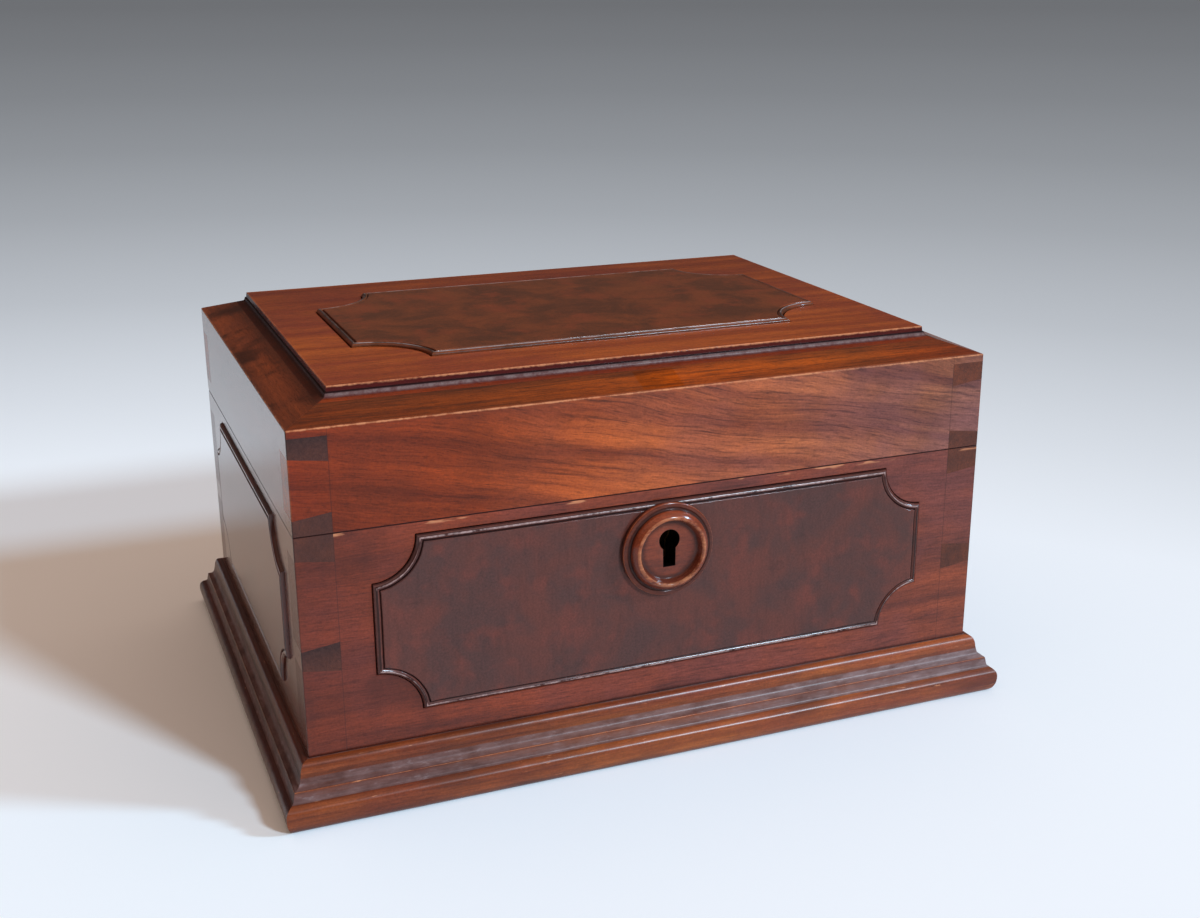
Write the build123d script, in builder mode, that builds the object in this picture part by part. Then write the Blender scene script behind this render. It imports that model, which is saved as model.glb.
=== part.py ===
"""A lidded letter box in dovetailed boards, standing on a mitred plinth.

The case and the lid are each four boards: the front and back carry the tails, the sides carry the
pins, and the lid's corners finish in a small mitre above the top pin. Shaped burl fields are let
into the four faces and into the moulded top board. The lid turns on two brass butt hinges whose
barrels lie in a V cut along the back of the parting line; the two slopes of the V meet when the lid
is fully open. A link-plate box lock behind a turned wooden escutcheon holds it shut.

Frame: +X to the right, -Y to the front, +Z up, origin under the middle of the plinth. Millimetres.
"""

from build123d import *
import os
from math import radians, tan

# Carcass
box_width = 270.0
box_depth = 202.0
wall = 13.5
case_foot = 3.0  # underside of the case boards, above what the plinth stands on
seam_height = 105.0  # middle of the parting line
seam_gap = 0.4
lid_edge_height = 142.0  # outer arris of the lid's sloping border
border_slope = 18.3  # degrees, the lid's border rising inwards

# Dovetails
pin_flare = 1.8  # taper of a pin's side across the wall
case_foot_pin = 13.0
case_middle_pin = 10.8
case_middle_pin_drop = 45.1  # from the case's rim to the pin's middle
case_seam_pin = 10.2
lid_seam_pin = 7.3
lid_upper_pin = 8.8
mitre_shoulder = 2.8  # height of the mitre above the lid's upper pin, at the outer arris

# Bottom board and its pegs
bottom_thickness = 8.0
bottom_rebate = 6.0
bottom_fit = 0.1
peg_radius = 1.2
peg_length = 16.0
peg_end_margin = 45.0  # from the case's ends to the outer pegs of the long rows
peg_side_margin = 56.0

# Plinth moulding: how far each point of the profile stands out from the case, and its height
plinth_height = 23.2
ledge_reach = 2.2
bead_reach = 3.9
bead_foot = 20.0
cavetto_reach = 6.9
cavetto_foot = 15.2
cavetto_sag = 0.7
fillet_reach = 7.2
fillet_foot = 13.4
scotia_reach = 9.4
scotia_foot = 10.6
nose_reach = 10.8
nose_centre = 6.4
nose_foot = 1.2
foot_reach = 7.4

# Burl fields and the shaped recesses that hold them
recess_depth = 3.0
field_fit = 0.05
quirk_depth = 1.5  # groove floor below the face
quirk_floor = 1.2
field_cove_waist = 0.9  # inward run of the cove's lower slope
field_cove_run = 1.5  # inward run of the whole cove
field_cove_level = -0.7  # height of the cove's knee, from the face
field_proud = 1.4
face_field_notch = 16.0
face_field_rim_margin = 4.3  # below the case's rim
face_field_plinth_margin = 11.1  # above the plinth
front_field_end_margin = 25.5  # in from the case's corners
side_field_end_margin = 23.5
top_field_notch = 24.0
top_field_end_margin = 19.9  # in from the table's arrises
top_field_side_margin = 26.4

# Top board of the lid: its table's moulding runs inwards and rises from the border's slope
top_tongue = 4.5
top_tongue_thickness = 4.0
top_tongue_cover = 4.5  # wood above the groove at the lid boards' inner faces
top_fit = 0.2
border_lip = 2.2  # how far the border's slope runs on over the top board
cove_knee_run = 0.9
cove_knee_rise = 0.8
cove_head_run = 1.3
cove_head_rise = 2.0
table_run = 1.9
table_rise = 3.8

# Butt hinges
hinge_end_margin = 55.0  # from the case's ends to the hinges' middles
hinge_length = 34.0
hinge_knuckles = 5
hinge_setback = 2.0  # pin axis inside the back face
hinge_barrel_radius = 2.5
hinge_pin_radius = 1.0
hinge_pin_play = 0.05
hinge_knuckle_gap = 0.3
hinge_leaf_thickness = 1.2
hinge_leaf_reach = 11.0
hinge_leaf_parting = 0.2
hinge_fit = 0.1
hinge_barrel_relief = 0.4
vee_half_angle = 48.5  # degrees
hinge_screw_spacing = 11.0
hinge_screw_reach = 6.8  # from the pin axis to the screws' line

# Brass wood screws
screw_radius = 1.0
screw_head_radius = 1.9
screw_length = 9.0
lock_screw_length = 6.5
screw_tip = 2.5
screw_tip_radius = 0.3
screw_slot_width = 0.5
screw_slot_depth = 0.5
screw_play = 0.05

# Escutcheon, as radius and height above the field
escutcheon_drop = 3.8  # from the keyhole's round down to the turned centre
spigot_radius = 9.5
spigot_depth = 3.0
flange_radius = 18.0
flange_rim = 1.5
flange_slope_radius = 16.4
flange_slope_height = 2.1
ring_outer_radius = 15.6
ring_crest_height = 5.4
dish_radius = 12.2
dish_height = 2.8
keyhole_drop = 3.5  # from the bolt's foot down to the round's centre
keyhole_radius = 4.0
keyhole_slot_width = 4.8
keyhole_slot_drop = 10.2  # from the round's centre to the slot's foot

# Box lock
plate_width = 58.0
plate_height = 33.0
plate_thickness = 1.5
plate_screw_margin = 2.6
selvage_depth = 9.5
lock_fit = 0.15
lock_case_width = 48.0
lock_case_height = 29.0
lock_case_depth = 7.0
lock_case_wall = 1.0
key_tip_radius = 1.6
bolt_travel = 5.0
bolt_length = 36.0
bolt_thickness = 2.0
bolt_depth = 7.0
bolt_headroom = 6.8  # from the bolt up to the selvage, where the fingers are
bolt_finger_length = 5.8
bolt_finger_height = 2.0
bolt_finger_gap = 0.5  # between the finger's tip and the staple when the bolt is drawn
bolt_lug_width = 3.0
talon_radius = 2.4
stump_radius = 1.2
stump_collar_radius = 2.2
stump_play = 0.1
stump_spacing = 18.0
stump_rise = 4.2  # above the bolt's foot
staple_spacing = 20.0
staple_width = 4.4
staple_thickness = 2.5
staple_bridge = 1.0  # thickness under the eye
staple_bolt_gap = 0.5
staple_eye_width = 3.0
staple_eye_height = 3.2
staple_play = 0.45
link_width = 46.0
link_depth = 8.0
link_thickness = 1.2
link_screw_spacing = 36.0
spring_thickness = 0.5
spring_width = 4.0
spring_foot_x = 20.0
spring_foot_drop = 9.2  # below the spring's tip
spring_bow_x = 14.0
spring_bow_drop = 2.6
spring_tip_x = 7.0
spring_play = 0.3

# Places worked out from the sizes above
half_w = box_width / 2
half_d = box_depth / 2
inner_w = half_w - wall
inner_d = half_d - wall
case_top = seam_height - seam_gap / 2
lid_foot = seam_height + seam_gap / 2
slope = tan(radians(border_slope))
lid_inner_height = lid_edge_height + wall * slope
border_reach = wall + border_lip
border_head = lid_edge_height + border_reach * slope
table_height = border_head + table_rise
top_foot = lid_inner_height - top_tongue_cover - top_tongue_thickness
mitre_height = lid_edge_height - mitre_shoulder
bottom_top = case_foot + bottom_thickness
peg_inset = wall - bottom_rebate / 2
hinge_y = half_d - hinge_setback
plate_back = -inner_d
plate_front = plate_back - plate_thickness
plate_foot = case_top - plate_height
selvage_foot = case_top - plate_thickness
selvage_front = plate_back - selvage_depth
lock_case_front = plate_front - lock_case_depth
lock_case_foot = selvage_foot - lock_case_height
bolt_foot = selvage_foot - bolt_headroom - bolt_depth
bolt_head = bolt_foot + bolt_depth
staple_foot = bolt_head + staple_bolt_gap
staple_eye_foot = staple_foot + staple_bridge
stump_height = bolt_foot + stump_rise
keyhole_height = bolt_foot - keyhole_drop
escutcheon_height = keyhole_height - escutcheon_drop
bolt_y = plate_front - (lock_case_depth - lock_case_wall) / 2
bolt_front = bolt_y - bolt_thickness / 2
field_front = -half_d - field_proud
face_field_head = case_top - face_field_rim_margin
face_field_foot = plinth_height + face_field_plinth_margin
face_field_height = face_field_head - face_field_foot
face_field_centre = (face_field_head + face_field_foot) / 2
screw_head_drop = screw_head_radius - screw_radius
clear = 20.0  # how far cutters run past the faces they open

face_planes = {
    "front": Plane(origin=(0, -half_d, face_field_centre), x_dir=(1, 0, 0), z_dir=(0, -1, 0)),
    "back": Plane(origin=(0, half_d, face_field_centre), x_dir=(-1, 0, 0), z_dir=(0, 1, 0)),
    "left": Plane(origin=(-half_w, 0, face_field_centre), x_dir=(0, -1, 0), z_dir=(-1, 0, 0)),
    "right": Plane(origin=(half_w, 0, face_field_centre), x_dir=(0, 1, 0), z_dir=(1, 0, 0)),
}
face_outlines = {
    "front": (box_width - 2 * front_field_end_margin, face_field_height, face_field_notch),
    "back": (box_width - 2 * front_field_end_margin, face_field_height, face_field_notch),
    "left": (box_depth - 2 * side_field_end_margin, face_field_height, face_field_notch),
    "right": (box_depth - 2 * side_field_end_margin, face_field_height, face_field_notch),
}
table_plane = Plane.XY.offset(table_height)
top_outline = (
    box_width - 2 * (border_reach + table_run + top_field_end_margin),
    box_depth - 2 * (border_reach + table_run + top_field_side_margin),
    top_field_notch,
)

case_pins = [  # foot, head, flare below, flare above
    (case_foot, case_foot + case_foot_pin, 0.0, pin_flare),
    (
        case_top - case_middle_pin_drop - case_middle_pin / 2,
        case_top - case_middle_pin_drop + case_middle_pin / 2,
        pin_flare,
        pin_flare,
    ),
    (case_top - case_seam_pin, case_top, pin_flare, 0.0),
]
lid_pins = [
    (lid_foot, lid_foot + lid_seam_pin, 0.0, pin_flare),
    (mitre_height - lid_upper_pin, mitre_height, pin_flare, 0.0),
]
long_row = (peg_end_margin - half_w, 0.0, half_w - peg_end_margin)
short_row = (peg_side_margin - half_d, half_d - peg_side_margin)
peg_places = [(x, side * (half_d - peg_inset)) for x in long_row for side in (-1, 1)]
peg_places += [(side * (half_w - peg_inset), y) for y in short_row for side in (-1, 1)]
hinge_places = {"left": hinge_end_margin - half_w, "right": half_w - hinge_end_margin}

os.makedirs("parts", exist_ok=True)


def write(part, name):
    """Labels a finished piece and writes it to its own file."""
    part.label = name
    export_step(part, f"parts/{name}.step")


def notched_outline(width, height, notch, inset=0.0):
    """A rectangle whose corners are scooped out by circles centred on them, drawn inset evenly."""
    Rectangle(width - 2 * inset, height - 2 * inset)
    with GridLocations(width, height, 2, 2):
        Circle(notch + inset, mode=Mode.SUBTRACT)


def upright(y):
    """Plane that faces the front at depth y, with X to the right and heights measured upwards."""
    return Plane(origin=(0, y, 0), x_dir=(1, 0, 0), z_dir=(0, -1, 0))


def cut_keyhole(front, back):
    """Cuts the keyhole, a round with a slot below it, between two depths."""
    with BuildSketch(upright(front)) as outline:
        with Locations((0, keyhole_height)):
            Circle(keyhole_radius)
        with Locations((0, keyhole_height - keyhole_slot_drop / 2)):
            Rectangle(keyhole_slot_width, keyhole_slot_drop)
    extrude(outline.sketch, amount=front - back, mode=Mode.SUBTRACT)


def pin_outlines(pins, mode=Mode.ADD):
    """The pins of the left and right corners, as they show on a tail board's face."""
    for side in (-1, 1):
        for foot, head, flare_below, flare_above in pins:
            Polygon(
                (side * half_w, foot + flare_below),
                (side * inner_w, foot),
                (side * inner_w, head),
                (side * half_w, head - flare_above),
                align=None,
                mode=mode,
            )


def cut_pin_sockets(pins):
    """Cuts the sockets for the pins through both ends of a tail board."""
    with BuildSketch(upright(0)) as outline:
        pin_outlines(pins)
    extrude(outline.sketch, amount=half_d + clear, both=True, mode=Mode.SUBTRACT)


def cut_between_pins(pins, foot, head):
    """Cuts away what stands between the pins at both ends of a pin board."""
    for end in (-1, 1):
        with BuildSketch(upright(end * inner_d)) as outline:
            for side in (-1, 1):
                with Locations((side * (inner_w + wall / 2), (foot + head) / 2)):
                    Rectangle(wall, head - foot)
            pin_outlines(pins, Mode.SUBTRACT)
        extrude(outline.sketch, amount=-end * wall, mode=Mode.SUBTRACT)


def cut_mitres(near_side):
    """Mitres the lid's corners above the upper pins: takes the sides' share, or the fronts'."""
    with BuildSketch(Plane.XY.offset(mitre_height)) as outline:
        for sx in (-1, 1):
            for sy in (-1, 1):
                third = (half_w, inner_d) if near_side else (inner_w, half_d)
                Polygon(
                    (sx * inner_w, sy * inner_d),
                    (sx * half_w, sy * half_d),
                    (sx * third[0], sy * third[1]),
                    align=None,
                )
    extrude(outline.sketch, amount=clear, mode=Mode.SUBTRACT)


def cut_recess(plane, shape):
    """Sinks the shaped recess of a field into a face; shape is its width, height and notch."""
    with BuildSketch(plane) as outline:
        notched_outline(*shape)
    extrude(outline.sketch, amount=-recess_depth, mode=Mode.SUBTRACT)


def cut_vee():
    """Cuts the V along the back of the parting line, with its foot on the hinge axis."""
    run = hinge_setback + clear
    rise = run * tan(radians(vee_half_angle))
    with BuildSketch(Plane.YZ) as outline:
        Polygon(
            (hinge_y, seam_height),
            (hinge_y + run, seam_height + rise),
            (hinge_y + run, seam_height - rise),
            align=None,
        )
    extrude(outline.sketch, amount=half_w + clear, both=True, mode=Mode.SUBTRACT)


def cut_bottom_housing():
    """Rebates the foot of a case board for the bottom board and drills the pegs' holes."""
    with BuildSketch(Plane.XY.offset(case_foot)) as outline:
        Rectangle(2 * (inner_w + bottom_rebate), 2 * (inner_d + bottom_rebate))
    extrude(outline.sketch, amount=bottom_thickness, mode=Mode.SUBTRACT)
    cut_peg_holes()


def cut_peg_holes():
    """Drills the holes of the bottom board's pegs from below."""
    with BuildSketch(Plane.XY.offset(case_foot)) as outline:
        with Locations(*peg_places):
            Circle(peg_radius)
    extrude(outline.sketch, amount=peg_length, mode=Mode.SUBTRACT)


def cut_top_groove():
    """Ploughs the groove that holds the top board's tongue."""
    reach = top_tongue + top_fit
    with BuildSketch(Plane.XY.offset(top_foot)) as outline:
        Rectangle(2 * (inner_w + reach), 2 * (inner_d + reach))
    extrude(outline.sketch, amount=top_tongue_thickness, mode=Mode.SUBTRACT)


# ---------------------------------------------------------------- screws


def screw_group(places, length):
    """Countersunk wood screws; each place's z axis looks out of the head."""
    with BuildPart() as screws:
        for place in places:
            with BuildSketch(place):
                Circle(screw_head_radius)
            with BuildSketch(place.offset(-screw_head_drop)):
                Circle(screw_radius)
            loft()
            with BuildSketch(place.offset(-screw_head_drop)):
                Circle(screw_radius)
            extrude(amount=screw_head_drop + screw_tip - length)
            with BuildSketch(place.offset(screw_tip - length)):
                Circle(screw_radius)
            with BuildSketch(place.offset(-length)):
                Circle(screw_tip_radius)
            loft()
            with BuildSketch(place):
                Rectangle(2 * screw_head_radius + clear, screw_slot_width)
            extrude(amount=-screw_slot_depth, mode=Mode.SUBTRACT)
    return screws.part


def cut_pilot_holes(places, length):
    """Bores the screws' holes into wood."""
    for place in places:
        with Locations(place):
            Hole(screw_radius + screw_play, depth=length + screw_play)


def cut_countersinks(places):
    """Drills and countersinks the screws' holes through brass."""
    for place in places:
        with Locations(place):
            CounterSinkHole(
                screw_radius + screw_play,
                screw_head_radius + screw_play,
                depth=screw_length,
                counter_sink_angle=90,
            )


def hinge_screw_places(side, middle):
    """Screw places of one hinge leaf; side is -1 for the case's leaf and 1 for the lid's."""
    z = seam_height + side * hinge_leaf_parting / 2
    y = hinge_y - hinge_screw_reach
    offsets = (-hinge_screw_spacing, 0.0, hinge_screw_spacing)
    return [Plane(origin=(middle + x, y, z), x_dir=(1, 0, 0), z_dir=(0, 0, -side)) for x in offsets]


plate_screw_places = [
    Plane(origin=(x, plate_back, z), x_dir=(1, 0, 0), z_dir=(0, 1, 0))
    for x in (plate_screw_margin - plate_width / 2, plate_width / 2 - plate_screw_margin)
    for z in (plate_foot + plate_screw_margin, selvage_foot - plate_screw_margin)
]
link_screw_places = [
    Plane(origin=(x, bolt_y, lid_foot), x_dir=(1, 0, 0), z_dir=(0, 0, -1))
    for x in (-link_screw_spacing / 2, link_screw_spacing / 2)
]


# ---------------------------------------------------------------- boards


def cut_hinge_housings(side):
    """Lets leaves, barrels and screws into a back board; side is -1 below the seam and 1 above."""
    for middle in hinge_places.values():
        with BuildSketch(Plane.XY.offset(seam_height)) as outline:
            with Locations((middle, hinge_y - hinge_leaf_reach / 2)):
                Rectangle(hinge_length + 2 * hinge_fit, hinge_leaf_reach + 2 * hinge_fit)
        housing_depth = hinge_leaf_parting / 2 + hinge_leaf_thickness
        extrude(outline.sketch, amount=side * housing_depth, mode=Mode.SUBTRACT)
        with BuildSketch(Plane.YZ.offset(middle)) as outline:
            with Locations((hinge_y, seam_height)):
                Circle(hinge_barrel_radius + hinge_barrel_relief)
        extrude(outline.sketch, amount=hinge_length / 2 + hinge_fit, both=True, mode=Mode.SUBTRACT)
        cut_pilot_holes(hinge_screw_places(side, middle), screw_length)


def case_board(face):
    """A case board: a tail board for the front and back faces, a pin board for the sides."""
    side = -1 if face in ("front", "left") else 1
    with BuildPart() as board:
        with BuildSketch(Plane.XY.offset(case_foot)):
            if face in ("front", "back"):
                with Locations((0, side * (inner_d + wall / 2))):
                    Rectangle(box_width, wall)
            else:
                with Locations((side * (inner_w + wall / 2), 0)):
                    Rectangle(wall, box_depth)
        extrude(amount=case_top - case_foot)
        if face in ("front", "back"):
            cut_pin_sockets(case_pins)
        else:
            cut_between_pins(case_pins, case_foot, case_top)
        cut_bottom_housing()
        cut_recess(face_planes[face], face_outlines[face])
        if face == "front":
            cut_lock_mortise()
        else:
            cut_vee()
        if face == "back":
            cut_hinge_housings(-1)
    return board.part


def cut_lock_mortise():
    """Houses the lock's plate, selvage and case in the front board, with keyhole and screw holes."""
    for half_width, foot, front in (
        (plate_width / 2, plate_foot, plate_front),
        (plate_width / 2, selvage_foot, selvage_front - lock_fit),
        (lock_case_width / 2, lock_case_foot, lock_case_front - lock_fit),
    ):
        with BuildSketch(upright(plate_back)) as outline:
            with Locations((0, (foot - lock_fit + case_top) / 2)):
                Rectangle(2 * (half_width + lock_fit), case_top - foot + lock_fit)
        extrude(outline.sketch, amount=plate_back - front, mode=Mode.SUBTRACT)
    cut_keyhole(plate_back, -half_d)
    cut_pilot_holes(plate_screw_places, lock_screw_length)


def lid_board(face):
    """A lid board with the sloping border on its top edge."""
    side = -1 if face in ("front", "left") else 1
    tails = face in ("front", "back")
    outer = half_d if tails else half_w
    inner = inner_d if tails else inner_w
    with BuildPart() as board:
        with BuildSketch(Plane.YZ if tails else upright(0)):
            Polygon(
                (side * outer, lid_foot),
                (side * outer, lid_edge_height),
                (side * inner, lid_inner_height),
                (side * inner, lid_foot),
                align=None,
            )
        extrude(amount=half_w if tails else half_d, both=True)
        if tails:
            cut_pin_sockets(lid_pins)
        else:
            cut_between_pins(lid_pins, lid_foot, mitre_height)
        cut_mitres(near_side=tails)
        cut_top_groove()
        if face == "front":
            cut_link_housing()
        else:
            cut_vee()
        if face == "back":
            cut_hinge_housings(1)
    return board.part


def cut_link_housing():
    """Lets the link plate into the foot of the lid's front board."""
    with BuildSketch(Plane.XY.offset(lid_foot)) as outline:
        with Locations((0, bolt_y)):
            Rectangle(link_width + 2 * lock_fit, link_depth + 2 * lock_fit)
    extrude(outline.sketch, amount=link_thickness, mode=Mode.SUBTRACT)
    cut_pilot_holes(link_screw_places, screw_length)


for face in face_planes:
    write(case_board(face), f"case_{face}_board")
    write(lid_board(face), f"lid_{face}_board")

with BuildPart() as bottom_board:
    with BuildSketch(Plane.XY.offset(case_foot)):
        reach = bottom_rebate - bottom_fit
        Rectangle(2 * (inner_w + reach), 2 * (inner_d + reach))
    extrude(amount=bottom_thickness)
    cut_peg_holes()
write(bottom_board.part, "case_bottom_board")

with BuildPart() as pegs:
    with BuildSketch(Plane.XY.offset(case_foot)):
        with Locations(*peg_places):
            Circle(peg_radius)
    extrude(amount=peg_length)
write(pegs.part, "bottom_pegs")

with BuildPart() as top_board:
    with BuildSketch(Plane.XY.offset(top_foot)):
        Rectangle(2 * (inner_w + top_tongue), 2 * (inner_d + top_tongue))
    extrude(amount=top_tongue_thickness)
    with BuildSketch(Plane.XY.offset(top_foot)):
        Rectangle(2 * inner_w, 2 * inner_d)
    extrude(amount=lid_inner_height - top_foot)
    for inset, height in (
        (wall, lid_inner_height),
        (border_reach, border_head),
        (border_reach + cove_knee_run, border_head + cove_knee_rise),
        (border_reach + cove_head_run, border_head + cove_head_rise),
        (border_reach + table_run, table_height),
    ):
        with BuildSketch(Plane.XY.offset(height)):
            Rectangle(box_width - 2 * inset, box_depth - 2 * inset)
    loft(ruled=True)
    cut_recess(table_plane, top_outline)
write(top_board.part, "lid_top_board")


# ---------------------------------------------------------------- plinth


def plinth_profile(outer, side):
    """Moulding section against a face that lies outer from the middle; side is its direction."""

    def at(reach, height):
        return (side * (outer + reach), height)

    with BuildLine() as section:
        Polyline(at(0, 0), at(0, plinth_height), at(ledge_reach, plinth_height))
        Line(at(ledge_reach, plinth_height), at(bead_reach, bead_foot))
        sag_reach = (bead_reach + cavetto_reach) / 2 - cavetto_sag
        sag_height = (bead_foot + cavetto_foot) / 2 - cavetto_sag
        ThreePointArc(
            at(bead_reach, bead_foot),
            at(sag_reach, sag_height),
            at(cavetto_reach, cavetto_foot),
        )
        Polyline(
            at(cavetto_reach, cavetto_foot),
            at(fillet_reach, fillet_foot),
            at(scotia_reach, scotia_foot),
        )
        ThreePointArc(
            at(scotia_reach, scotia_foot),
            at(nose_reach, nose_centre),
            at(scotia_reach, nose_foot),
        )
        Polyline(at(scotia_reach, nose_foot), at(foot_reach, 0), at(0, 0))
    make_face(section.edges())


def plinth_piece(face):
    """One side of the plinth, mitred at both ends."""
    side = -1 if face in ("front", "left") else 1
    along_x = face in ("front", "back")
    outer = half_d if along_x else half_w
    other = half_w if along_x else half_d
    reach = nose_reach + wall
    with BuildPart() as piece:
        with BuildSketch(Plane.YZ if along_x else upright(0)):
            plinth_profile(outer, side)
        extrude(amount=other + reach, both=True)
        with BuildSketch(Plane.XY):
            near, far = side * (outer - wall), side * (outer + reach)
            corners = [
                (wall - other, near),
                (other - wall, near),
                (other + reach, far),
                (-other - reach, far),
            ]
            Polygon(*(corners if along_x else [(y, x) for x, y in corners]), align=None)
        extrude(amount=plinth_height + clear, mode=Mode.INTERSECT)
    return piece.part


for face in face_planes:
    write(plinth_piece(face), f"plinth_{face}")


# ---------------------------------------------------------------- fields and escutcheon


def field_solid(plane, shape):
    """A burl field: its base fills the recess, its coved edge rises to the raised face."""
    with BuildPart() as field:
        with BuildSketch(plane.offset(-recess_depth)):
            notched_outline(*shape, field_fit)
        extrude(amount=recess_depth - quirk_depth)
        for inset, level in (
            (quirk_floor, -quirk_depth),
            (quirk_floor + field_cove_waist, field_cove_level),
            (quirk_floor + field_cove_run, field_proud),
        ):
            with BuildSketch(plane.offset(level)):
                notched_outline(*shape, inset)
        loft(ruled=True)
    return field.part


for face in ("left", "right", "back"):
    write(field_solid(face_planes[face], face_outlines[face]), f"{face}_field")
write(field_solid(table_plane, top_outline), "top_field")

with BuildPart() as front_field:
    add(field_solid(face_planes["front"], face_outlines["front"]))
    with BuildSketch(upright(field_front)):
        with Locations((0, escutcheon_height)):
            Circle(spigot_radius + field_fit)
    extrude(amount=-spigot_depth, mode=Mode.SUBTRACT)
    cut_keyhole(field_front + field_proud + recess_depth, field_front)
write(front_field.part, "front_field")

with BuildPart() as escutcheon:
    centre = (0, field_front, escutcheon_height)
    ring_radius = (ring_outer_radius - dish_radius) / 2
    ring_shoulder = ring_crest_height - ring_radius
    with BuildSketch(Plane(origin=centre, x_dir=(1, 0, 0), z_dir=(0, 0, -1))):
        with BuildLine():
            Polyline(
                (0, dish_height),
                (0, -spigot_depth),
                (spigot_radius, -spigot_depth),
                (spigot_radius, 0),
                (flange_radius, 0),
                (flange_radius, flange_rim),
                (flange_slope_radius, flange_slope_height),
                (ring_outer_radius, flange_slope_height),
                (ring_outer_radius, ring_shoulder),
            )
            ThreePointArc(
                (ring_outer_radius, ring_shoulder),
                (dish_radius + ring_radius, ring_crest_height),
                (dish_radius, ring_shoulder),
            )
            Polyline((dish_radius, ring_shoulder), (dish_radius, dish_height), (0, dish_height))
        make_face()
    revolve(axis=Axis(centre, (0, -1, 0)))
    cut_keyhole(field_front + spigot_depth, field_front - ring_crest_height)
write(escutcheon.part, "escutcheon")


# ---------------------------------------------------------------- box lock


def slot_through_bolt(x):
    """Outline of the slot that lets the drawn bolt travel past a stump."""
    with Locations((x - bolt_travel / 2, stump_height)):
        SlotCenterToCenter(bolt_travel, 2 * (stump_radius + stump_play), mode=Mode.SUBTRACT)


with BuildPart() as lock_plate:
    with BuildSketch(upright(plate_back)):
        with Locations((0, case_top - plate_height / 2)):
            Rectangle(plate_width, plate_height)
        with Locations((0, keyhole_height)):
            Circle(key_tip_radius, mode=Mode.SUBTRACT)
    extrude(amount=plate_thickness)
    with BuildSketch(Plane.XY.offset(selvage_foot)):
        with Locations((0, plate_back - selvage_depth / 2)):
            Rectangle(plate_width, selvage_depth)
        with Locations((0, bolt_y)):
            with GridLocations(staple_spacing, 0, 2, 1):
                Rectangle(
                    staple_thickness + 2 * staple_play,
                    staple_width + 2 * staple_play,
                    mode=Mode.SUBTRACT,
                )
    extrude(amount=plate_thickness)
    cut_countersinks(plate_screw_places)
write(lock_plate.part, "lock_plate")

with BuildPart() as lock_case:
    with BuildSketch(upright(plate_front)):
        with Locations((0, selvage_foot - lock_case_height / 2)):
            Rectangle(lock_case_width, lock_case_height)
    extrude(amount=lock_case_depth)
    with BuildSketch(upright(plate_front)):
        with Locations((0, selvage_foot - (lock_case_height - lock_case_wall) / 2)):
            Rectangle(lock_case_width - 2 * lock_case_wall, lock_case_height - lock_case_wall)
    extrude(amount=lock_case_depth - lock_case_wall, mode=Mode.SUBTRACT)
    cut_keyhole(lock_case_front + lock_case_wall, lock_case_front)
write(lock_case.part, "lock_case")

with BuildPart() as stumps:
    collar = (lock_case_depth - lock_case_wall - bolt_thickness) / 2 - stump_play
    for start, length, radius in (
        (plate_front, lock_case_depth - lock_case_wall, stump_radius),
        (plate_front, collar, stump_collar_radius),
        (bolt_front - stump_play, collar, stump_collar_radius),
    ):
        with BuildSketch(upright(start)):
            with Locations((0, stump_height)):
                with GridLocations(stump_spacing, 0, 2, 1):
                    Circle(radius)
        extrude(amount=length)
write(stumps.part, "lock_stumps")

with BuildPart() as bolt:
    with BuildSketch(upright(bolt_y + bolt_thickness / 2)):
        lug_head = staple_eye_foot + (staple_eye_height + bolt_finger_height) / 2
        reach = staple_thickness / 2 + bolt_finger_gap + bolt_finger_length
        bolt_end = -staple_spacing / 2 - reach - bolt_lug_width
        with Locations((bolt_end, bolt_foot)):
            Rectangle(bolt_length, bolt_depth, align=(Align.MIN, Align.MIN))
        for staple_x in (-staple_spacing / 2, staple_spacing / 2):
            with Locations((staple_x - reach, bolt_foot)):
                Rectangle(bolt_lug_width, lug_head - bolt_foot, align=(Align.MAX, Align.MIN))
            with Locations((staple_x - reach, lug_head)):
                Rectangle(bolt_finger_length, bolt_finger_height, align=(Align.MIN, Align.MAX))
        slot_through_bolt(-stump_spacing / 2)
        slot_through_bolt(stump_spacing / 2)
        with Locations((-bolt_travel / 2, bolt_foot)):
            Circle(talon_radius, mode=Mode.SUBTRACT)
    extrude(amount=bolt_thickness)
write(bolt.part, "lock_bolt")

with BuildPart() as spring:
    tip_height = bolt_foot - spring_play
    with BuildSketch(upright(plate_front)):
        with BuildLine():
            for drop in (0, spring_thickness):
                ThreePointArc(
                    (spring_foot_x, tip_height - spring_foot_drop - drop),
                    (spring_bow_x, tip_height - spring_bow_drop - drop),
                    (spring_tip_x, tip_height - drop),
                )
            for x, height in (
                (spring_foot_x, tip_height - spring_foot_drop),
                (spring_tip_x, tip_height),
            ):
                Line((x, height), (x, height - spring_thickness))
        make_face()
    extrude(amount=spring_width)
write(spring.part, "lock_spring")

with BuildPart() as link_plate:
    with BuildSketch(Plane.XY.offset(lid_foot)):
        with Locations((0, bolt_y)):
            Rectangle(link_width, link_depth)
    extrude(amount=link_thickness)
    with BuildSketch(Plane.XY.offset(lid_foot)):
        with Locations((0, bolt_y)):
            with GridLocations(staple_spacing, 0, 2, 1):
                Rectangle(staple_thickness, staple_width)
    extrude(amount=staple_foot - lid_foot)
    with BuildSketch(Plane.YZ):
        with Locations((bolt_y, staple_eye_foot + staple_eye_height / 2)):
            Rectangle(staple_eye_width, staple_eye_height)
    extrude(amount=link_width / 2, both=True, mode=Mode.SUBTRACT)
    cut_countersinks(link_screw_places)
write(link_plate.part, "link_plate")

write(screw_group(plate_screw_places, lock_screw_length), "lock_screws")
write(screw_group(link_screw_places, screw_length), "link_screws")


# ---------------------------------------------------------------- hinges


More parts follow.
